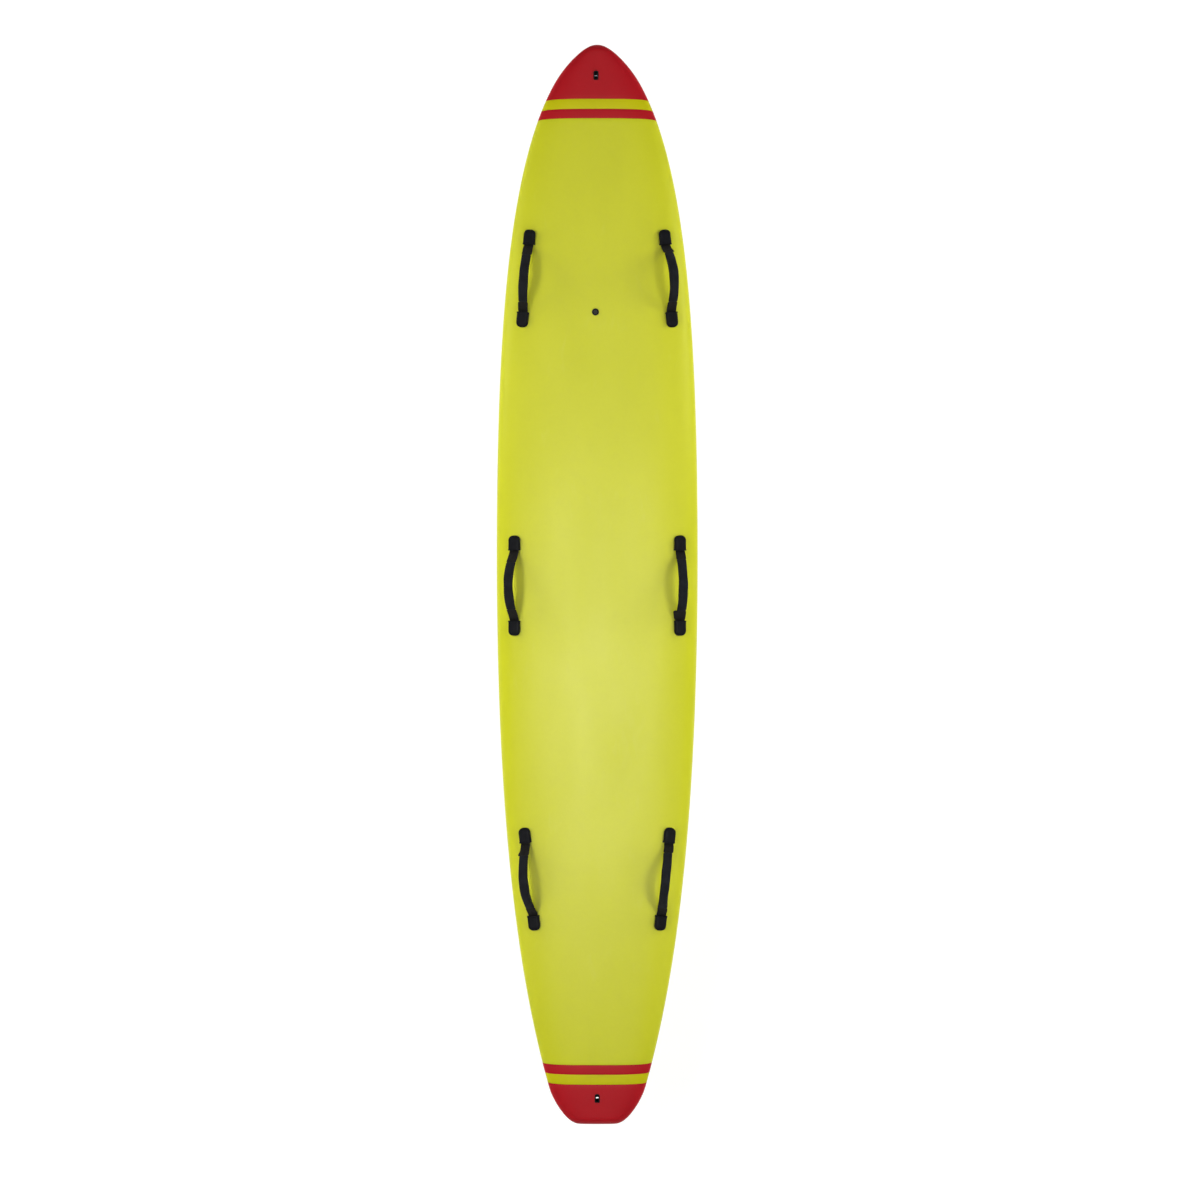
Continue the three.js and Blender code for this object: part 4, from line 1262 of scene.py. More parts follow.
@dataclass
class Bottom:
    """The slick bottom skin, from seam to seam, with the opening for the fin box."""

    hull: Hull = HULL
    thickness: float = 0.0025

    def build(self, opening: bpy.types.Object) -> None:
        """Makes the skin's outside, its inside and the strip at the seam, and cuts the opening.

        Args:
            opening: The closed form that is cut out.
        """
        rows = self.hull.rows(self.hull.length / 2, -self.hull.length / 2)
        shell = Shell()
        outer = shell.grid(self.hull.grid("bottom", rows, 0.0, drop=GAP))
        inner = shell.grid(self.hull.grid("bottom", rows, self.thickness, drop=GAP, inset=self.thickness))
        shell.close(outer, inner)
        piece = joined(shell.build("bottom_skin"), [opening], Joining.CUT)
        finish_piece(piece, SLICK_SKIN, "board", ("bottom_shell",))


# Handles


@dataclass(frozen=True)
class Flare:
    """A stretch of webbing that sticks out at one side of a strap, and ends square.

    It widens from its first run to its last, with a power of the share of the way between them.
    """

    way: int
    side: int
    first: float
    last: float
    reach: float
    power: float = 1.6


@dataclass(frozen=True)
class HandleRow:
    """The place of one pair of handles, and how each of them leans and is wrapped.

    Leans are degrees outward from square to the deck, for the left and the right handle. Bare runs are how
    far from each cap its sleeve starts: left fore, left aft, right fore, right aft.
    """

    name: str
    middle: float
    span: float
    insets: tuple[float, float]
    leans: tuple[float, float]
    bare_runs: tuple[float, float, float, float]
    flares: tuple[tuple[int, Flare], ...] = ()


ROWS = (
    HandleRow(
        "front", middle=0.9175, span=0.287, insets=(0.0555, 0.060), leans=(-9.0, 1.0),
        bare_runs=(0.035, 0.028, 0.028, 0.028),
        flares=((1, Flare(way=1, side=1, first=0.008, last=0.024, reach=0.0045)),),
    ),
    HandleRow(
        "mid", middle=0.0095, span=0.297, insets=(0.0565, 0.0545), leans=(-1.0, -10.0),
        bare_runs=(0.037, 0.034, 0.028, 0.030),
        flares=((1, Flare(way=-1, side=-1, first=0.0, last=0.0295, reach=0.0100, power=0.45)),),
    ),
    HandleRow(
        "rear", middle=-0.8605, span=0.305, insets=(0.0565, 0.056), leans=(1.5, -15.5),
        bare_runs=(0.0345, 0.028, 0.028, 0.028),
        flares=((-1, Flare(way=1, side=-1, first=0.020, last=0.034, reach=0.0065)),),
    ),
)


@dataclass(frozen=True)
class Creases:
    """How the cloth of a sleeve is creased: by sines of the way along the arch and the angle round it.

    Small creases come and go from patch to patch, and slower folds lie under them.
    """

    depth: float = 0.0005
    length: float = 0.0093
    swing: float = 2.0
    share: float = 0.7
    patch_length: float = 0.031
    patch_phase: float = 2.0
    least: float = 0.45
    fold_length: float = 0.019
    fold_phase: float = 1.3
    fold_swing: float = 0.8
    fold_share: float = 0.8

    def height(self, along: Array, angle: Array, phase: float) -> Array:
        """Works out how far the cloth stands out.

        A crease is sin(y / length + swing * cos(angle + phase) + phase). The square of a longer sine weighs
        it from its least up to 1.

        Args:
            along: Places along the arch.
            angle: Angles round it.
            phase: Where the handle's own creases start.

        Returns:
            The heights, in metres.
        """
        crease = np.sin(along / self.length + self.swing * np.cos(angle + phase) + phase)
        patch = np.sin(along / self.patch_length + phase * self.patch_phase + np.sin(angle)) ** 2
        crease = crease * (self.least + (1.0 - self.least) * patch)
        fold = np.sin(along / self.fold_length + phase * self.fold_phase + self.fold_swing * np.sin(angle))
        return self.depth * (self.share * crease + self.fold_share * fold)


@dataclass
class Handle:
    """One rail handle: a webbing arch with a padded sleeve round it and a moulded cap over each foot.

    Its frame has Y along the arch, to the nose, and Z square to the deck. A run is a distance from a cap's
    mouth towards the middle of the arch. The lip's profile is pairs of a run into the cap and the share of
    the lip's height there.
    """

    row: HandleRow
    side: int
    hull: Hull = HULL
    strap_width: float = 0.0283
    gathered_width: float = 0.022
    gather_run: float = 0.0035
    spread: float = 0.0006
    spread_run: float = 0.004
    strap_thickness: float = 0.003
    strap_rows: int = 120
    strap_end_rows: tuple[float, float] = (0.0005, 0.0012)
    strap_end_rounding: float = 0.0012
    strap_edge_share: float = 0.85
    strap_edge_steps: int = 5
    flare_drop: float = 0.0004
    waver_depth: float = 0.0003
    waver_length: float = 0.0061
    waver_run: float = 0.006
    phase_by_row: float = 41.0
    phase_by_side: float = 1.7
    arch_height: float = 0.060
    arch_steps: int = 600
    foot_reach: float = 0.020
    top_reach: float = 0.060
    bend_lead: float = 0.005
    bend_run: float = 0.028
    hinge_height: float = 0.003
    sleeve_width: tuple[float, float] = (0.0278, 0.0265)
    sleeve_thickness: tuple[float, float] = (0.009, 0.019)
    sleeve_power: float = 2.7
    sleeve_rounding: float = 0.0022
    sleeve_rows: int = 130
    sleeve_rim_rows: int = 7
    sleeve_sides: int = 64
    sleeve_bore_power: float = 0.25
    bulge_share: float = 0.5
    overlap_step: float = 0.0011
    overlap_side: float = 0.62
    overlap_edge: float = 0.004
    overlap_fade: float = 9.0
    overlap_sink: float = 0.25
    creases: Creases = Creases()
    map_radius: float = 0.0105
    tab: float = 0.029
    hole_setback: float = 0.012
    shank: float = 0.006
    cap_width: float = 0.0348
    cap_height: float = 0.0132
    cap_wall: float = 0.0025
    dome_run: float = 0.016
    dome_power: float = 2.4
    section_power: float = 4.5
    dome_end_share: float = 0.985
    dome_rows: int = 22
    cap_rows: int = 14
    cap_columns: int = 49
    cap_crowding: float = 0.08
    cap_body_start: float = 0.006
    lip_proud: float = 0.001
    lip_profile: tuple[tuple[float, float], ...] = (
        (0.0, 0.25), (0.00012, 0.6), (0.0005, 0.9), (0.001, 1.0), (0.003, 1.0), (0.0035, 0.88),
        (0.0039, 0.5), (0.0042, 0.12), (0.0048, 0.0),
    )
    mouth_flare: float = 0.0004
    mouth_flare_run: float = 0.0012
    bore_reach: float = 0.02

    def __post_init__(self) -> None:
        """Finds the handle's frame, its name and where the caps' mouths are."""
        ends = []
        for way, inset in zip((1, -1), self.row.insets):
            y = np.array([self.row.middle + way * self.row.span / 2])
            ends.append(self.hull.skin("deck", self.side * (self.hull.half_width(y) - inset), y)[0])
        fore, aft = ends
        middle = (fore + aft) / 2
        on_skin = self.hull.place("deck", middle[0], middle[1], fore - aft)
        self.place = Place(middle, on_skin.axes)
        self.name = f"{self.row.name}_{'right' if self.side > 0 else 'left'}"
        self.body = f"{self.name}_handle"
        self.mouth = np.linalg.norm(fore - aft) / 2 - self.tab - self.dome_run * self.dome_end_share
        self.lean = self.side * math.radians(self.row.leans[max(self.side, 0)])
        first = 2 * max(self.side, 0)
        self.bare_runs = {1: self.row.bare_runs[first], -1: self.row.bare_runs[first + 1]}
        self.phase = self.row.middle * self.phase_by_row + self.side * self.phase_by_side

    def path(self, along: Array) -> tuple[Array, Array, Array]:
        """Follows the arch: a Bezier curve from foot to top, mirrored, and leaned about the hinge line.

        The lean sets in smoothly over the bend run. Its feet lie flat in the frame, and on_deck lays them on
        the deck.

        Args:
            along: Places along the frame's Y.

        Returns:
            The middle of the webbing there, its direction across and its upward direction.
        """
        foot = GAP + self.strap_thickness / 2
        start = self.mouth + self.bend_lead
        controls = np.array(
            [[start, foot], [start - self.foot_reach, foot], [self.top_reach, self.arch_height],
             [0, self.arch_height]]
        )
        shares = np.linspace(0.0, 1.0, self.arch_steps)
        curve, _ = bezier(controls, shares)
        share = np.interp(-np.abs(along), -curve[:, 0], shares)
        points, slopes = bezier(controls, share)
        way = np.sign(along)
        angle = self.lean * smooth_step((self.mouth - np.abs(along)) / self.bend_run)
        leaned = np.stack([np.sin(angle), 0 * angle, np.cos(angle)], axis=-1)
        across = np.stack([np.cos(angle), 0 * angle, -np.sin(angle)], axis=-1)
        centre = leaned * (points[:, 1:] - self.hinge_height)
        centre += np.stack([0 * along, along, self.hinge_height + 0 * along], axis=-1)
        up = leaned * -slopes[:, :1]
        up[:, 1] += way * slopes[:, 1]
        return centre, across, up

    def on_deck(self, points: Array) -> Array:
        """Lifts or lowers points with the deck under them. That fades out over the bend run.

        Args:
            points: Points of the handle's frame.

        Returns:
            The moved points.
        """
        share = 1.0 - smooth_step((self.mouth - np.abs(points[..., 1])) / self.bend_run)
        lift = self.hull.height_in(self.place, points[..., 0], points[..., 1])
        return points + np.stack([0 * lift, 0 * lift, share * lift], axis=-1)

    def strap(self, way: int) -> None:
        """Makes the half of the strap at one end. Its width narrows where it enters the sleeve.

        Args:
            way: 1 for the half at the nose end, -1 for the other.
        """
        bare = self.bare_runs[way]
        flares = [flare for side, flare in self.row.flares if side == self.side and flare.way == way]
        runs = np.linspace(-self.tab, self.mouth - GAP / 2, self.strap_rows)
        for flare in flares:
            runs = np.append(runs, [flare.first, flare.last - MERGE, flare.last + self.flare_drop])
        runs = np.unique(np.append(runs, np.array(self.strap_end_rows) - self.tab))
        centre, across, up = self.path(way * (self.mouth - runs))
        gather = smooth_step((runs - bare + self.gather_run) / self.gather_run)
        loose = self.strap_width + 2 * self.spread * smooth_step(runs / self.spread_run)
        half = (loose + (self.gathered_width - loose) * gather) / 2
        rounding = self.strap_end_rounding
        short = np.maximum(rounding - runs - self.tab, 0)
        half -= rounding - np.sqrt(np.maximum(0, rounding**2 - short**2))
        waver = self.waver_depth * np.sin(runs / self.waver_length + self.phase)
        waver = waver * smooth_step(runs / self.waver_run)
        reach = {1: half + waver, -1: half - waver}
        for flare in flares:
            share = (runs - flare.first) / (flare.last - flare.first)
            grown = flare.reach * np.clip(share, 0.0, 1.0) ** flare.power
            reach[flare.side] = reach[flare.side] + np.where(share <= 1.0, grown, 0)
        thick = self.strap_thickness / 2
        corner = thick * self.strap_edge_share
        count = self.strap_edge_steps
        turn = np.linspace(0.0, math.pi / 2, count)
        angles = np.concatenate([turn + k * math.pi / 2 for k in range(4)] + [[0.0]])
        right = np.concatenate([np.ones(count), np.zeros(2 * count), np.ones(count + 1)])
        top = np.concatenate([np.ones(2 * count), -np.ones(2 * count), [1.0]])
        side = right * (reach[1][:, None] - corner) - (1 - right) * (reach[-1][:, None] - corner)
        side = side + corner * np.cos(angles)
        rise = top * (thick - corner) + corner * np.sin(angles)
        points = centre[:, None] + side[..., None] * across[:, None] + rise[..., None] * up[:, None]
        mapped = np.stack([side + rise, runs[:, None] + 0 * side], axis=-1)
        first, last = centre[:1, None] + 0 * points[:1], centre[-1:, None] + 0 * points[-1:]
        ring = np.concatenate([first, points, last])
        mapped = np.concatenate([mapped[:1], mapped, mapped[-1:]])
        shell = Shell()
        shell.grid(self.place.world(self.on_deck(ring)), mapped)
        piece = shell.build(f"{self.name}_webbing_{'fore' if way > 0 else 'aft'}")
        hole = self.screw_place(way)
        joined(piece, [rod_form(self.shank + 2 * GAP, -OVERRUN, 2 * OVERRUN, hole)], Joining.CUT)
        dress(piece, WEBBING_CLOTH)
        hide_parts(f"{self.name}_strap")
        start = self.place.world(np.array([0.0, way * self.mouth, 0.0]))
        end = self.place.world(np.array([0.0, way * (self.mouth - self.bend_run), 0.0]))
        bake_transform(piece)

    def sleeve(self) -> None:
        """Makes the wrapped sleeve: a thick cloth round the webbing, with a lengthwise edge that laps over.

        Its section is |x / a| ** p + |z / b| ** p = 1. The cloth is a step thicker just behind the edge, and
        the step fades with exp(-fade * share of a turn). It bulges smoothly towards its middle.
        """
        fore, aft = self.mouth - self.bare_runs[1], self.bare_runs[-1] - self.mouth
        rim = self.sleeve_rounding * (1.0 - np.cos(np.linspace(0.0, math.pi / 2, self.sleeve_rim_rows)))
        plain = np.linspace(aft + self.sleeve_rounding, fore - self.sleeve_rounding, self.sleeve_rows)[1:-1]
        along = np.concatenate([aft + rim, plain, (fore - rim)[::-1]])
        centre, across, up = self.path(along)
        from_end = np.where(along > 0, fore - along, along - aft)
        bulge = smooth_step(from_end / np.where(along > 0, fore, -aft) / self.bulge_share)
        width = self.sleeve_width[0] + (self.sleeve_width[1] - self.sleeve_width[0]) * bulge
        thick = self.sleeve_thickness[0] + (self.sleeve_thickness[1] - self.sleeve_thickness[0]) * bulge
        short = np.maximum(self.sleeve_rounding - from_end, 0.0)
        drawn = self.sleeve_rounding - np.sqrt(np.maximum(self.sleeve_rounding**2 - short**2, 0.0))
        edge = math.pi * (0.5 + self.side * self.overlap_side)
        turn = np.linspace(0.0, FULL_TURN, self.sleeve_sides + 1)
        sharp = edge + self.overlap_edge * np.array([-1.0, 1.0])
        angle = np.sort(np.concatenate([turn[:-1], sharp % FULL_TURN, [FULL_TURN]]))
        behind = ((angle - edge) % FULL_TURN) / FULL_TURN
        lap = self.overlap_step * (np.exp(-behind * self.overlap_fade) - self.overlap_sink) * bulge[:, None]
        grow = lap + self.creases.height(along[:, None], angle, self.phase) - drawn[:, None]
        power = 2.0 / self.sleeve_power
        side = (width[:, None] / 2 + grow) * signed_power(np.cos(angle), power)
        rise = (thick[:, None] / 2 + grow) * signed_power(np.sin(angle), power)
        outer = centre[:, None] + side[..., None] * across[:, None] + rise[..., None] * up[:, None]
        bore_x = self.gathered_width / 2 + GAP
        bore_z = self.strap_thickness / 2 + GAP
        bore_side = bore_x * signed_power(np.cos(angle), self.sleeve_bore_power) + 0 * side
        bore_rise = bore_z * signed_power(np.sin(angle), self.sleeve_bore_power) + 0 * rise
        bore = centre[:, None] + bore_side[..., None] * across[:, None] + bore_rise[..., None] * up[:, None]
        mapped = np.stack([angle * self.map_radius + 0 * side, along[:, None] + 0 * side], axis=-1)
        shell = Shell()
        outside = shell.grid(self.place.world(outer), mapped)
        inside = shell.grid(self.place.world(bore), mapped)
        shell.bridge(outside[0], inside[0])
        shell.bridge(outside[-1], inside[-1])
        piece = shell.build(f"{self.name}_sleeve")
        finish_piece(piece, SLEEVE_CLOTH, self.body, (f"{self.name}_grip",))

    def cap(self, way: int) -> None:
        """Makes the moulded cap over one foot: an arch of superellipses that rounds off in a dome.

        A point at a share a of the arch lies at foot * (1 - a) + top * a, where foot is the deck's own
        height under it and the gap. The mouth has a rounded lip. Columns crowd at the section's corners.

        Args:
            way: 1 for the cap at the nose end, -1 for the other.
        """
        lip = np.array(self.lip_profile)
        body = np.linspace(self.cap_body_start, self.tab, self.cap_rows)
        dome = np.sin(np.linspace(0.0, math.pi / 2, self.dome_rows))[1:]
        angle = np.linspace(0.0, math.pi, self.cap_columns)
        angle = angle - self.cap_crowding * np.sin(4 * angle)
        closing = (1 - dome**self.dome_power) ** (1 / self.dome_power)
        sheets = []
        for wall in (0.0, self.cap_wall):
            run = np.concatenate([lip[:, 0], body, self.tab + (self.dome_run - wall) * dome])
            grow = np.concatenate([lip[:, 1] * self.lip_proud, 0 * body, 0 * dome]) if wall == 0 else 0 * run
            fill = np.concatenate([np.ones(len(lip) + len(body)), closing])
            grow, fill = grow[:, None], fill[:, None]
            if wall > 0:
                grow = grow + self.mouth_flare * np.clip(1.0 - run[:, None] / self.mouth_flare_run, 0.0, 1.0)
            power = 2.0 / self.section_power
            x = (self.cap_width / 2 - wall + grow) * fill * signed_power(np.cos(angle), power)
            arch = fill * np.abs(np.sin(angle)) ** power
            y = way * (self.mouth + run[:, None]) + 0 * x
            foot = self.hull.height_in(self.place, x, y) + GAP
            z = foot * (1 - arch) + (self.cap_height - wall + grow) * arch
            sheets.append(self.place.world(np.stack([x, y, z], axis=-1)))
        shell = Shell()
        shell.close(shell.grid(sheets[0]), shell.grid(sheets[1]))
        end = "fore" if way > 0 else "aft"
        piece = shell.build(f"{self.name}_end_cap_{end}")
        finish_piece(piece, CAP_PLASTIC, "board", (f"{self.name}_cap_{end}",))

    def screw_place(self, way: int) -> Place:
        """Returns the frame of the screw at one end."""
        return self.place.moved((0.0, way * (self.mouth + self.tab - self.hole_setback), 0.0))

    def bores(self) -> list[bpy.types.Object]:
        """Makes what the two screws take out of the deck pad."""
        diameter, reach = self.shank + 2 * GAP, self.bore_reach
        return [rod_form(diameter, -reach, reach, self.screw_place(way)) for way in (1, -1)]

    def build(self) -> None:
        """Makes the handle's pieces."""
        for way in (1, -1):
            self.strap(way)
            self.cap(way)
        self.sleeve()


# Vent plug


def threaded(
    name: str, core: Array, radius: float, depth: float, pitch: float, place: Place
) -> bpy.types.Object:
    """Turns a profile whose shank carries a thread: a groove that climbs by the pitch in a turn.

    The groove's depth at a height h and an angle a is depth * (1 - |2 * frac(h / pitch - a / turn) - 1|).

    Args:
        name: The new object's name.
        core: (radius, height) pairs. The thread is cut where the radius is the shank's.
        radius: The shank's radius.
        depth: The thread's depth.
        pitch: The thread's pitch.
        place: The frame.

    Returns:
        The object.
    """
    angles = np.linspace(0.0, FULL_TURN, ROD_SIDES + 1)[None, :]
    fine = resampled(core, THREAD_ROWS)
    on_shank = (np.abs(fine[:, 0] - radius) < MERGE * 10)[:, None]
    cycle = (fine[:, 1:] / pitch - angles / FULL_TURN) % 1.0
    groove = depth * (1.0 - np.abs(2.0 * cycle - 1.0)) * on_shank
    r = fine[:, :1] - groove
    r[[0, -1]] = fine[[0, -1], :1]
    ring = np.stack([r * np.cos(angles), r * np.sin(angles), fine[:, 1:] + 0 * r], axis=-1)
    shell = Shell()
    shell.grid(place.world(ring))
    return shell.build(name)


@dataclass
class Vent:
    """The vent plug in the deck: a flanged body, a screw with a coin slot and a ring under its head."""

    place: Place
    flange: float = 0.021
    flange_thickness: float = 0.0015
    barrel: float = 0.015
    depth: float = 0.022
    head: float = 0.012
    head_thickness: float = 0.0024
    shank: float = 0.0084
    shank_length: float = 0.013
    seal_thickness: float = 0.0014
    air_hole: float = 0.003
    floor: float = 0.004
    slot: tuple[float, float] = (0.0018, 0.0012)
    thread_depth: float = 0.0004
    pitch: float = 0.00125
    body_edge: float = 0.0006
    screw_edge: float = 0.0004
    seal_points: int = 25

    def body(self) -> None:
        """Makes the flanged body."""
        top, edge, rim = self.flange_thickness, self.flange / 2, self.head / 2 + GAP
        barrel, hole, bore = self.barrel / 2, self.air_hole / 2, self.shank / 2 + GAP
        seat = top - self.head_thickness - self.seal_thickness - 2 * GAP
        bottom, floor = -self.depth, self.floor - self.depth
        line = np.array(
            [[hole, floor], [hole, bottom], [barrel, bottom], [barrel, GAP], [edge, GAP], [edge, top],
             [rim, top], [rim, seat], [bore, seat], [bore, floor], [hole, floor]]
        )
        piece = turned_form("vent_plug_body", softened(line, self.body_edge), self.place)
        finish_piece(piece, FITTING_PLASTIC, "board", ("vent_body",))

    def screw(self) -> None:
        """Makes the screw: a round-edged head with a slot, and a threaded shank."""
        top, head, shank = self.flange_thickness, self.head / 2, self.shank / 2
        under, low = top - self.head_thickness, top - self.head_thickness - self.shank_length
        line = np.array([[0, low], [shank, low], [shank, under], [head, under], [head, top], [0, top]])
        line = softened(line, self.screw_edge)
        piece = threaded("vent_plug_screw", line, shank, self.thread_depth, self.pitch, self.place)
        size = (2 * head + OVERRUN, self.slot[0])
        joined(piece, [block_form(size, top - self.slot[1], top + OVERRUN, self.place)], Joining.CUT)
        finish_piece(piece, SCREW_PLASTIC, "vent_screw", ("vent_screw",))

    def seal(self) -> None:
        """Makes the ring: its section is an ellipse."""
        inner, outer = self.shank / 2 + GAP, self.head / 2
        middle = self.flange_thickness - self.head_thickness - GAP - self.seal_thickness / 2
        turn = np.linspace(0.0, FULL_TURN, self.seal_points)
        radius = (inner + outer) / 2 + (outer - inner) / 2 * np.cos(turn)
        height = middle + self.seal_thickness / 2 * np.sin(turn)
        piece = turned_form("vent_seal_ring", np.stack([radius, height], axis=1), self.place)
        finish_piece(piece, SEAL_RUBBER, "vent_ring", ("vent_o_ring",))

    def bore(self) -> bpy.types.Object:
        """Makes what the barrel takes out of the deck pad."""
        return rod_form(self.barrel + 2 * GAP, -self.depth, OVERRUN, self.place)

    def build(self) -> None:
        """Makes the vent's pieces."""
        self.body()
        self.screw()
        self.seal()


# Tow fittings


@dataclass
class TowFitting:
    """A flanged cup in the deck with a cross pin for a line. Its nose end is rounder than its tail end."""

    name: str
    place: Place
    pin_finish: Finish
    width: float = 0.0148
    length: float = 0.0268
    corners: tuple[float, float] = (0.0062, 0.0034)
    proud: float = 0.0014
    flange_thickness: float = 0.0012
    wall: float = 0.0018
    depth: float = 0.022
    floor: float = 0.002
    pin: float = 0.005
    pin_depth: float = 0.006
    edge: float = 0.0004

    def ring(self, name: str, steps: tuple[tuple[float, float], ...]) -> bpy.types.Object:
        """Carries (inset, height) steps round the flange's outline, softened at the corners."""
        profile = softened(np.array(steps), self.edge)
        return plate_form(name, (self.width, self.length), self.corners, profile, self.place)

    def build(self) -> None:
        """Makes the cup and its pin."""
        body, hollow = self.proud, self.proud + self.wall
        middle, top = self.width / 2, self.flange_thickness
        cup = self.ring(
            f"{self.name}_cup",
            ((middle, -self.depth), (body, -self.depth), (body, GAP), (0.0, GAP), (0.0, top), (middle, top)),
        )
        room = self.ring(
            "cutter",
            ((middle, self.floor - self.depth), (hollow, self.floor - self.depth), (hollow, top - self.edge),
             (hollow - self.edge, top + GAP), (hollow - self.edge, OVERRUN), (middle, OVERRUN)),
        )
        across = self.place.moved((0.0, 0.0, -self.pin_depth)).lying()
        half = self.width / 2 - self.proud
        bore = rod_form(self.pin + 2 * GAP, -self.width, self.width, across)
        joined(cup, [room, bore], Joining.CUT)
        finish_piece(cup, FITTING_PLASTIC, "board", (f"{self.name}_tow_cup",))
        radius = self.pin / 2
        line = np.array([[0, -half], [radius, -half], [radius, half], [0, half]])
        pin = turned_form(f"{self.name}_cross_pin", softened(line, self.edge), across, ROD_SIDES)
        finish_piece(pin, self.pin_finish, "board", (f"{self.name}_tow_pin",))

    def bore(self) -> bpy.types.Object:
        """Makes what the cup takes out of the deck pad.

        Returns:
            The closed form.
        """
        middle, inset = self.width / 2, self.proud - GAP
        return self.ring(
            "cutter", ((middle, -self.depth), (inset, -self.depth), (inset, OVERRUN), (middle, OVERRUN))
        )


# Fin


@dataclass
class FinStation:
    """The fin box in the bottom, the fin in its slot and the screw that holds it."""

    place: Place
    tab_thickness: float = 0.009
    tab_length: float = 0.190
    tab_height: float = 0.020
    ledge_length: float = 0.026
    ledge_thickness: float = 0.0054
    travel: float = 0.025
    end_room: float = 0.006
    wall: float = 0.0085
    box_depth: float = 0.030
    roof: float = 0.008
    corner_share: float = 0.25
    lip_height: float = 0.0094
    channel_width: float = 0.015
    plate_length: float = 0.013
    plate_thickness: float = 0.003
    plate_lift: float = 0.0007
    mouth_share: float = 1.5
    blade_base: float = 0.160
    blade_depth: float = 0.165
    tip_thickness_share: float = 0.42
    tip_round_share: float = 0.14
    tip_point_share: float = 0.75
    tip_edge_share: float = 0.03
    depth_shares: tuple[float, ...] = (0, 0.22, 0.45, 0.68, 0.86, 0.96, 1)
    leading_shares: tuple[float, ...] = (1, 0.74, 0.42, 0.04, -0.32, -0.51, -0.585)
    trailing_shares: tuple[float, ...] = (-1, -0.9, -0.88, -0.95, -1.06, -1.11, -1.13)
    foil: tuple[float, ...] = (0.2969, -0.1260, -0.3516, 0.2843, -0.1036)
    edge_share: float = 0.05
    blade_rows: int = 60
    tip_rows: int = 36
    foil_points: int = 45
    screw: float = 0.004
    screw_head: tuple[float, float] = (0.0076, 0.0024)
    screw_setback: float = 0.014
    screw_slot: float = 0.0012
    thread_depth: float = 0.0002
    thread_pitch: float = 0.0007
    box_edge: float = 0.0006
    tab_edge: float = 0.0008
    screw_edge: float = 0.0003

    @property
    def slot_half(self) -> tuple[float, float]:
        """Returns half the slot's width and length."""
        return self.tab_thickness / 2 + GAP, self.tab_length / 2 + self.travel + self.end_room

    def box(self) -> None:
        """Makes the box with its slot, the wider channel over the lips and the mouth at its aft end."""
        slot_x, slot_y = self.slot_half
        size = (2 * (slot_x + self.wall), 2 * (slot_y + self.wall))
        corner = self.corner_share * size[0]
        middle = size[0] / 2
        line = np.array([[middle, 0], [0, 0], [0, self.box_depth], [middle, self.box_depth]])
        line = softened(line, self.box_edge)
        box = plate_form("slotted_fin_box", size, (corner, corner), line, self.place)
        top = self.lip_height + self.plate_thickness + self.plate_lift + 2 * GAP
        slot = block_form((2 * slot_x, 2 * slot_y), -OVERRUN, self.box_depth - self.roof, self.place)
        channel = block_form((self.channel_width, 2 * slot_y), self.lip_height, top, self.place)
        mouth_length = self.mouth_share * self.plate_length
        mouth_place = self.place.moved((0.0, mouth_length / 2 - slot_y - GAP, 0.0))
        mouth = block_form((self.channel_width, mouth_length - 2 * GAP), -OVERRUN, top, mouth_place)
        for cutter in (slot, channel, mouth):
            joined(box, [cutter], Joining.CUT)
        finish_piece(box, FITTING_PLASTIC, "board", ("fin_box",))

    def blade(self) -> bpy.types.Object:
        """Makes the blade, a symmetrical foil.

        Its half thickness is 5 * t * (a sqrt(u) + b u + c u^2 + d u^3 + e u^4), where u runs from the leading
        to the trailing edge and t is the greatest thickness. The outline runs smoothly through its stations.
        At the tip, chord and thickness close as quarters of ellipses.

        Returns:
            The blade.
        """
        knots = np.array(self.depth_shares)
        tip_start = 1.0 - self.tip_round_share
        plain = np.linspace(0.0, tip_start, self.blade_rows)
        tip = 1.0 - self.tip_round_share * np.linspace(1.0, 0.0, self.tip_rows) ** 2
        depth = np.unique(np.append(plain, tip))
        middle = self.tab_length / 2 - self.ledge_length - self.blade_base / 2
        reach = self.blade_base / 2
        leading = middle + reach * through(knots, np.array(self.leading_shares, float), depth)
        trailing = middle + reach * through(knots, np.array(self.trailing_shares, float), depth)
        thick = self.tab_thickness * (1.0 + (self.tip_thickness_share - 1.0) * depth)
        from_edge = np.clip((1.0 - depth) / self.tip_edge_share, 0.0, 1.0)
        thick = thick * np.sqrt(1.0 - (1.0 - from_edge) ** 2)
        from_tip = np.clip((1.0 - depth) / self.tip_round_share, 0.0, 1.0)
        chord_share = np.sqrt(1.0 - (1.0 - from_tip) ** 2)
        point = leading + self.tip_point_share * (trailing - leading)
        leading = point + chord_share * (leading - point)
        trailing = point + chord_share * (trailing - point)
        u = (1.0 - np.cos(np.linspace(0.0, math.pi, self.foil_points))) / 2
        half = 5.0 * (self.foil[0] * np.sqrt(u) + sum(f * u ** (i + 1) for i, f in enumerate(self.foil[1:])))
        half = np.maximum(half, self.edge_share * (u > 0.5))
        u = np.concatenate([u, u[::-1][1:]])
        half = np.concatenate([half, -half[::-1][1:]])
        x = thick[:, None] * half
        y = leading[:, None] + (trailing - leading)[:, None] * u
        z = (self.lip_height / 2 - (self.blade_depth + self.lip_height / 2) * depth)[:, None] + 0 * x
        rings = np.stack([x, y, z], axis=-1)
        lid = rings[:1] * np.array([0.0, 1.0, 1.0])
        toe = rings[-1:] * np.array([0.0, 1.0, 1.0])
        shell = Shell()
        shell.grid(self.place.world(np.concatenate([lid, rings, toe])))
        return shell.build("fin_blade")

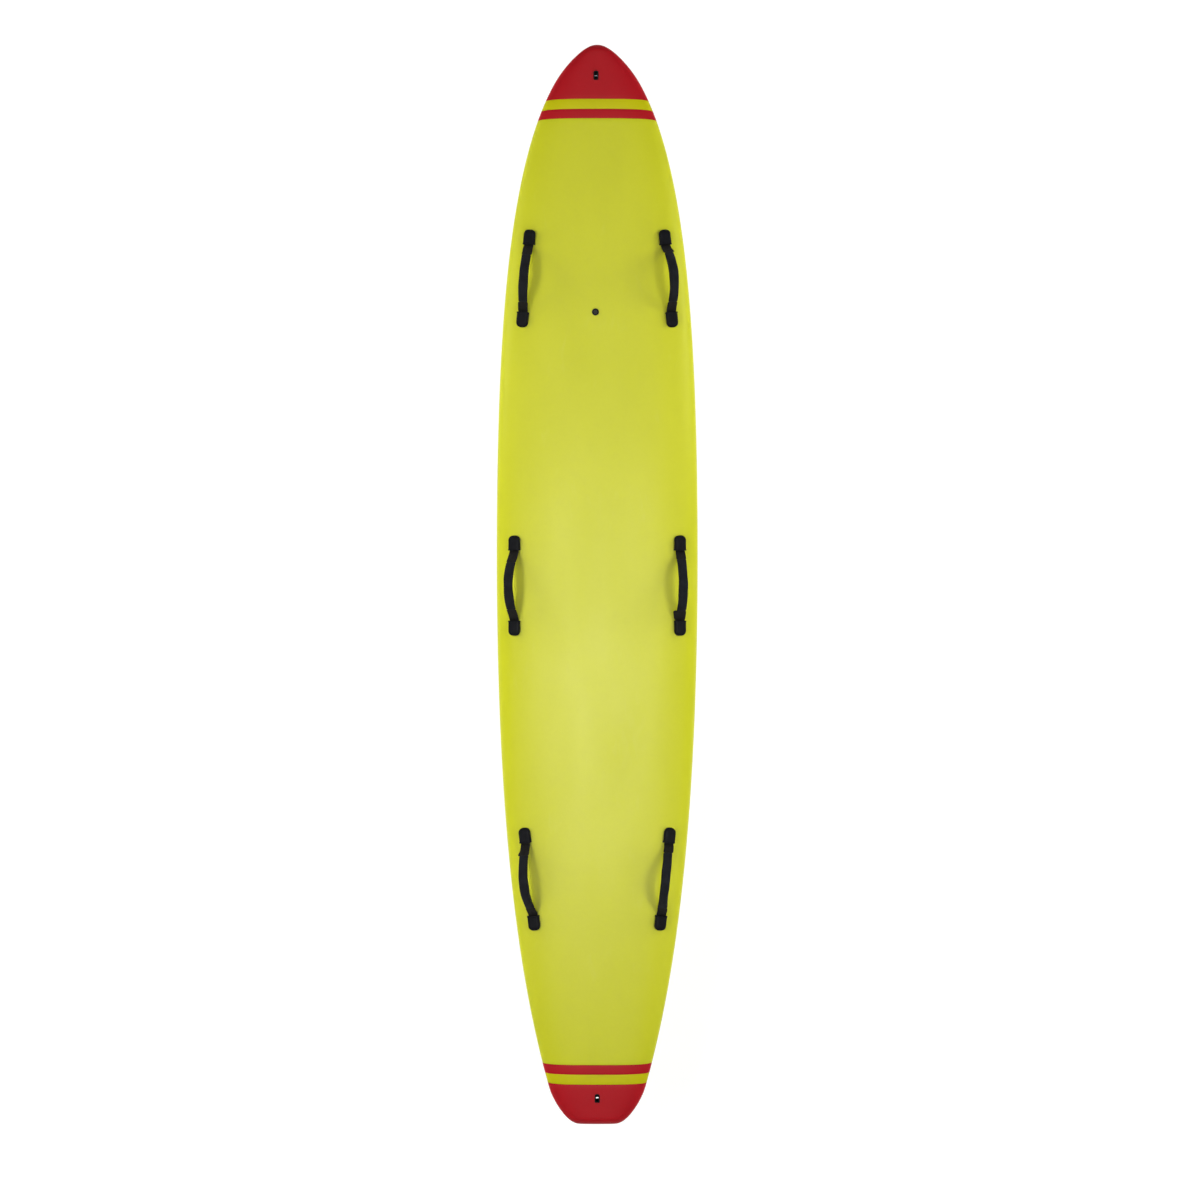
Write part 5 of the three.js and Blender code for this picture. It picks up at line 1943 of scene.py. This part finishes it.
    def fin(self) -> None:
        """Makes the fin: tab, ledge under the plate and blade in one, with the hole for the screw."""
        front, thick, edge = self.tab_length / 2, self.tab_thickness, self.tab_edge
        tab_length = self.tab_length - self.ledge_length
        ledge_top = self.lip_height - GAP
        tab_line = np.array([[thick / 2, 0], [0, 0], [0, self.tab_height], [thick / 2, self.tab_height]])
        tab_line = softened(tab_line, edge)
        tab_place = self.place.moved((0.0, -self.ledge_length / 2, 0.0))
        tab = plate_form("tapered_fin", (thick, tab_length), (edge, edge), tab_line, tab_place)
        ledge_line = np.array([[0, ledge_top - self.ledge_thickness], [0, ledge_top]])
        ledge_run = self.ledge_length + thick
        ledge_place = self.place.moved((0.0, front - ledge_run / 2, 0.0))
        ledge = plate_form("ledge", (thick, ledge_run), (edge, edge), ledge_line, ledge_place)
        fin = joined(tab, [ledge, self.blade()], Joining.ADD)
        hole = rod_form(self.screw + 2 * GAP, -OVERRUN, self.tab_height, self.screw_place())
        joined(fin, [hole], Joining.CUT)
        finish_piece(fin, FIN_URETHANE, "fin", ("fin",))

    def screw_place(self) -> Place:
        """Returns the screw's frame."""
        return self.place.moved((0.0, self.tab_length / 2 - self.screw_setback, 0.0))

    def fixing(self) -> None:
        """Makes the screw, with a slot in its head and a thread."""
        place = self.screw_place()
        head_top = self.lip_height - GAP - self.ledge_thickness - GAP
        head_low = head_top - self.screw_head[1]
        top = self.lip_height + GAP + self.plate_thickness + GAP
        head, shank = self.screw_head[0] / 2, self.screw / 2
        line = np.array(
            [[0, head_low], [head, head_low], [head, head_top], [shank, head_top], [shank, top], [0, top]]
        )
        line = softened(line, self.screw_edge)
        piece = threaded("slotted_fin_screw", line, shank, self.thread_depth, self.thread_pitch, place)
        slot_floor = head_low + self.screw_head[1] / 2
        slot = block_form((2 * head + OVERRUN, self.screw_slot), head_low - OVERRUN, slot_floor, place)
        joined(piece, [slot], Joining.CUT)
        finish_piece(piece, STAINLESS, "fin_screw", ("fin_screw",))

    def opening(self) -> bpy.types.Object:
        """Makes what the box takes out of the bottom skin.

        Returns:
            The closed form.
        """
        slot_x, slot_y = self.slot_half
        size = (2 * (slot_x + self.wall + GAP), 2 * (slot_y + self.wall + GAP))
        corner = self.corner_share * (size[0] - 2 * GAP) + GAP
        middle = size[0] / 2
        line = np.array([[middle, -OVERRUN], [0, -OVERRUN], [0, 2 * OVERRUN], [middle, 2 * OVERRUN]])
        return plate_form("cutter", size, (corner, corner), line, self.place)

    def build(self) -> None:
        """Makes the pieces of the fin station."""
        self.box()
        self.fin()
        self.fixing()


# Hidden layers


def dress_hidden() -> None:
    """Gives the layers and fixings that nothing shows their finishes. They keep their shapes."""
    layers = {"deck_shell": LAMINATE, "core_left": BEAD_FOAM, "core_right": BEAD_FOAM, "stringer": PLYWOOD}
    screws = {
        f"{row.name}_{side}_screw_{end}": STAINLESS
        for row in ROWS
        for side in ("left", "right")
        for end in ("fore", "aft")
    }
    for name, finish in {**layers, **screws, "fin_plate": BRASS}.items():
        dress(bpy.data.objects[name], finish)


# Studio


@dataclass(frozen=True)
class Softbox:
    """An area light: its place, the point it is turned to, its size and its power in watts.

    The size is its length along the board and its width across that. One that is only a sheen shows in
    reflections and lights nothing else.
    """

    name: str
    place: tuple[float, float, float]
    aim: tuple[float, float, float]
    size: tuple[float, float]
    power: float
    only_sheen: bool = False


@dataclass
class Studio:
    """Camera, lights, floor and sky: a white room with long and square softboxes round the board."""

    eye: tuple[float, float, float] = (0.0083, -0.0331, 5.1)
    lens: float = 50.367
    sensor: float = 36.0
    horizon_light: float = 1.0
    horizon_sheen: float = 2.6
    zenith_light: float = 0.01
    zenith_rise: float = 0.6
    floor_size: float = 60.0
    floor_glow: float = 0.86
    floor_bounce: float = 0.55
    floor_fade: tuple[float, float] = (2.0, 5.0)
    floor_albedo: float = 0.25
    boxes: tuple[Softbox, ...] = (
        Softbox("left_softbox", (-1.55, -0.20, 2.15), (0.0, -0.20, 0.1), (3.0, 0.45), 35.5),
        Softbox("right_softbox", (1.80, -0.20, 2.10), (0.0, -0.20, 0.1), (3.0, 0.45), 29.0),
        Softbox("fore_left_softbox", (-2.30, 1.20, 0.85), (-0.2, 1.1, 0.1), (0.9, 0.9), 19.0),
        Softbox("fore_right_softbox", (2.30, 1.20, 0.95), (0.2, 1.1, 0.1), (0.9, 0.9), 23.0),
        Softbox("aft_left_softbox", (-2.00, -1.60, 1.20), (0.0, -1.3, 0.1), (0.9, 0.9), 9.5),
        Softbox("aft_right_softbox", (2.00, -1.60, 1.20), (0.0, -1.3, 0.1), (0.9, 0.9), 9.5),
        Softbox("overhead_softbox", (0.0, -0.75, 5.6), (0.0, -0.75, 0.0), (2.5, 2.5), 520.0, True),
    )

    def camera(self) -> None:
        """Puts up the camera."""
        data = bpy.data.cameras.new("overhead")
        data.lens = self.lens
        data.sensor_width = self.sensor
        camera = bpy.data.objects.new("overhead", data)
        camera.location = self.eye
        bpy.context.scene.collection.objects.link(camera)
        bpy.context.scene.camera = camera

    def lights(self) -> None:
        """Hangs up the softboxes, each turned to its aim. The camera doesn't see them."""
        for box in self.boxes:
            data = bpy.data.lights.new(box.name, "AREA")
            data.shape = "RECTANGLE"
            data.size, data.size_y = box.size
            data.energy = box.power
            light = bpy.data.objects.new(box.name, data)
            light.location = box.place
            light.rotation_mode = "QUATERNION"
            light.rotation_quaternion = (Vector(box.aim) - Vector(box.place)).to_track_quat("-Z", "Y")
            light.visible_camera = False
            light.visible_diffuse = not box.only_sheen
            bpy.context.scene.collection.objects.link(light)
            light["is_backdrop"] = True

    def sky(self) -> None:
        """Makes the sky: white to the eye. As a light it is bright at the horizon and dark overhead.

        Reflections see it white as well, and brighter still at the horizon.
        """
        world = bpy.data.worlds.new("white_room")
        bpy.context.scene.world = world
        world.use_nodes = True
        sketch = Sketch(world.node_tree)
        path = sketch.node("LightPath")
        seen = sketch.seen_directly(path)
        parts = sketch.node("SeparateXYZ")
        sketch.feed(parts.inputs[0], sketch.node("TexCoord").outputs["Generated"])
        light = sketch.ramp(parts.outputs[2], 0.0, self.zenith_rise, self.horizon_light, self.zenith_light)
        gain = sketch.maths("MULTIPLY_ADD", path.outputs["Is Glossy Ray"], self.horizon_sheen - 1.0, 1.0)
        strength = sketch.maths("MAXIMUM", seen, sketch.maths("MULTIPLY", light, gain))
        background = world.node_tree.nodes["Background"]
        background.inputs["Color"].default_value = (1.0, 1.0, 1.0, 1.0)
        sketch.feed(background.inputs["Strength"], strength)

    def floor(self, height: float) -> None:
        """Lays the floor: it glows to the eye, takes a faint shadow and can't be seen from below.

        Args:
            height: Where it lies.
        """
        material = bpy.data.materials.new("white_floor")
        material.use_nodes = True
        sketch = Sketch(material.node_tree)
        shader = material.node_tree.nodes["Principled BSDF"]
        shader.inputs["Base Color"].default_value = (*[self.floor_albedo] * 3, 1.0)
        shader.inputs["Roughness"].default_value = 1.0
        shader.inputs["Specular IOR Level"].default_value = 0.0
        shader.inputs["Emission Color"].default_value = (1.0, 1.0, 1.0, 1.0)
        seen = sketch.seen_directly(sketch.node("LightPath"))
        length = sketch.node("VectorMath", operation="LENGTH")
        sketch.feed(length.inputs[0], sketch.node("TexCoord").outputs["Object"])
        glow = sketch.ramp(length.outputs["Value"], *self.floor_fade, self.floor_glow, 1.0)
        extra = sketch.maths("SUBTRACT", glow, self.floor_bounce)
        strength = sketch.maths("MULTIPLY_ADD", seen, extra, self.floor_bounce)
        sketch.feed(shader.inputs["Emission Strength"], strength)
        one_sided = sketch.node("MixShader")
        sketch.feed(one_sided.inputs[0], sketch.node("NewGeometry").outputs["Backfacing"])
        sketch.feed(one_sided.inputs[1], shader.outputs[0])
        sketch.feed(one_sided.inputs[2], sketch.node("BsdfTransparent").outputs[0])
        sketch.feed(material.node_tree.nodes["Material Output"].inputs["Surface"], one_sided.outputs[0])
        half = self.floor_size / 2
        mesh = bpy.data.meshes.new("white_floor")
        corners = [(x, y, height) for x, y in ((-half, -half), (half, -half), (half, half), (-half, half))]
        mesh.from_pydata(corners, [], [(0, 1, 2, 3)])
        mesh.materials.append(material)
        floor = bpy.data.objects.new("white_floor", mesh)
        bpy.context.scene.collection.objects.link(floor)
        floor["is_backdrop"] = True

    def build(self, lowest: float) -> None:
        """Puts everything up and sets the picture.

        Args:
            lowest: The board's lowest height.
        """
        self.camera()
        self.lights()
        self.sky()
        self.floor(lowest)
        bpy.context.scene.view_settings.view_transform = "Standard"


def write_sizes() -> float:
    """Logs the board's box as it is now.

    Returns:
        The board's lowest height.
    """
    low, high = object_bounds()
    LOG.info("box %s to %s", tuple(round(v, 4) for v in low), tuple(round(v, 4) for v in high))
    return low.z


@dataclass(frozen=True)
class Layout:
    """Where the fittings are: their places across and along the board."""

    vent: tuple[float, float] = (-0.005, 0.817)
    nose_fitting: tuple[float, float] = (-0.0035, 1.506)
    tail_fitting: tuple[float, float] = (0.0, -1.515)
    fin: tuple[float, float] = (0.0, -1.22)


def main() -> None:
    logging.basicConfig(level=logging.INFO, format="%(name)s %(message)s")
    deck = Deck()
    deck.build()
    handles = [Handle(row, side) for row in ROWS for side in (-1, 1)]
    layout = Layout()
    vent = Vent(HULL.place("deck", *layout.vent))
    # The nose pin's darker steel is painted shade.
    nose_fitting = TowFitting("nose", HULL.place("deck", *layout.nose_fitting), SHADED_STEEL)
    tail_fitting = TowFitting("tail", HULL.place("deck", *layout.tail_fitting), STAINLESS)
    station = FinStation(HULL.place("bottom", *layout.fin))
    deck.bore(DeckPad.main_deck_pad, [bore for handle in handles for bore in handle.bores()] + [vent.bore()])
    deck.bore(DeckPad.nose_pad, [nose_fitting.bore()])
    deck.bore(DeckPad.tail_pad, [tail_fitting.bore()])
    deck.dress()
    Bottom().build(station.opening())
    for part in (*handles, vent, nose_fitting, tail_fitting, station):
        part.build()
    dress_hidden()
    Studio().build(write_sizes())


if __name__ == "__main__":
    main()
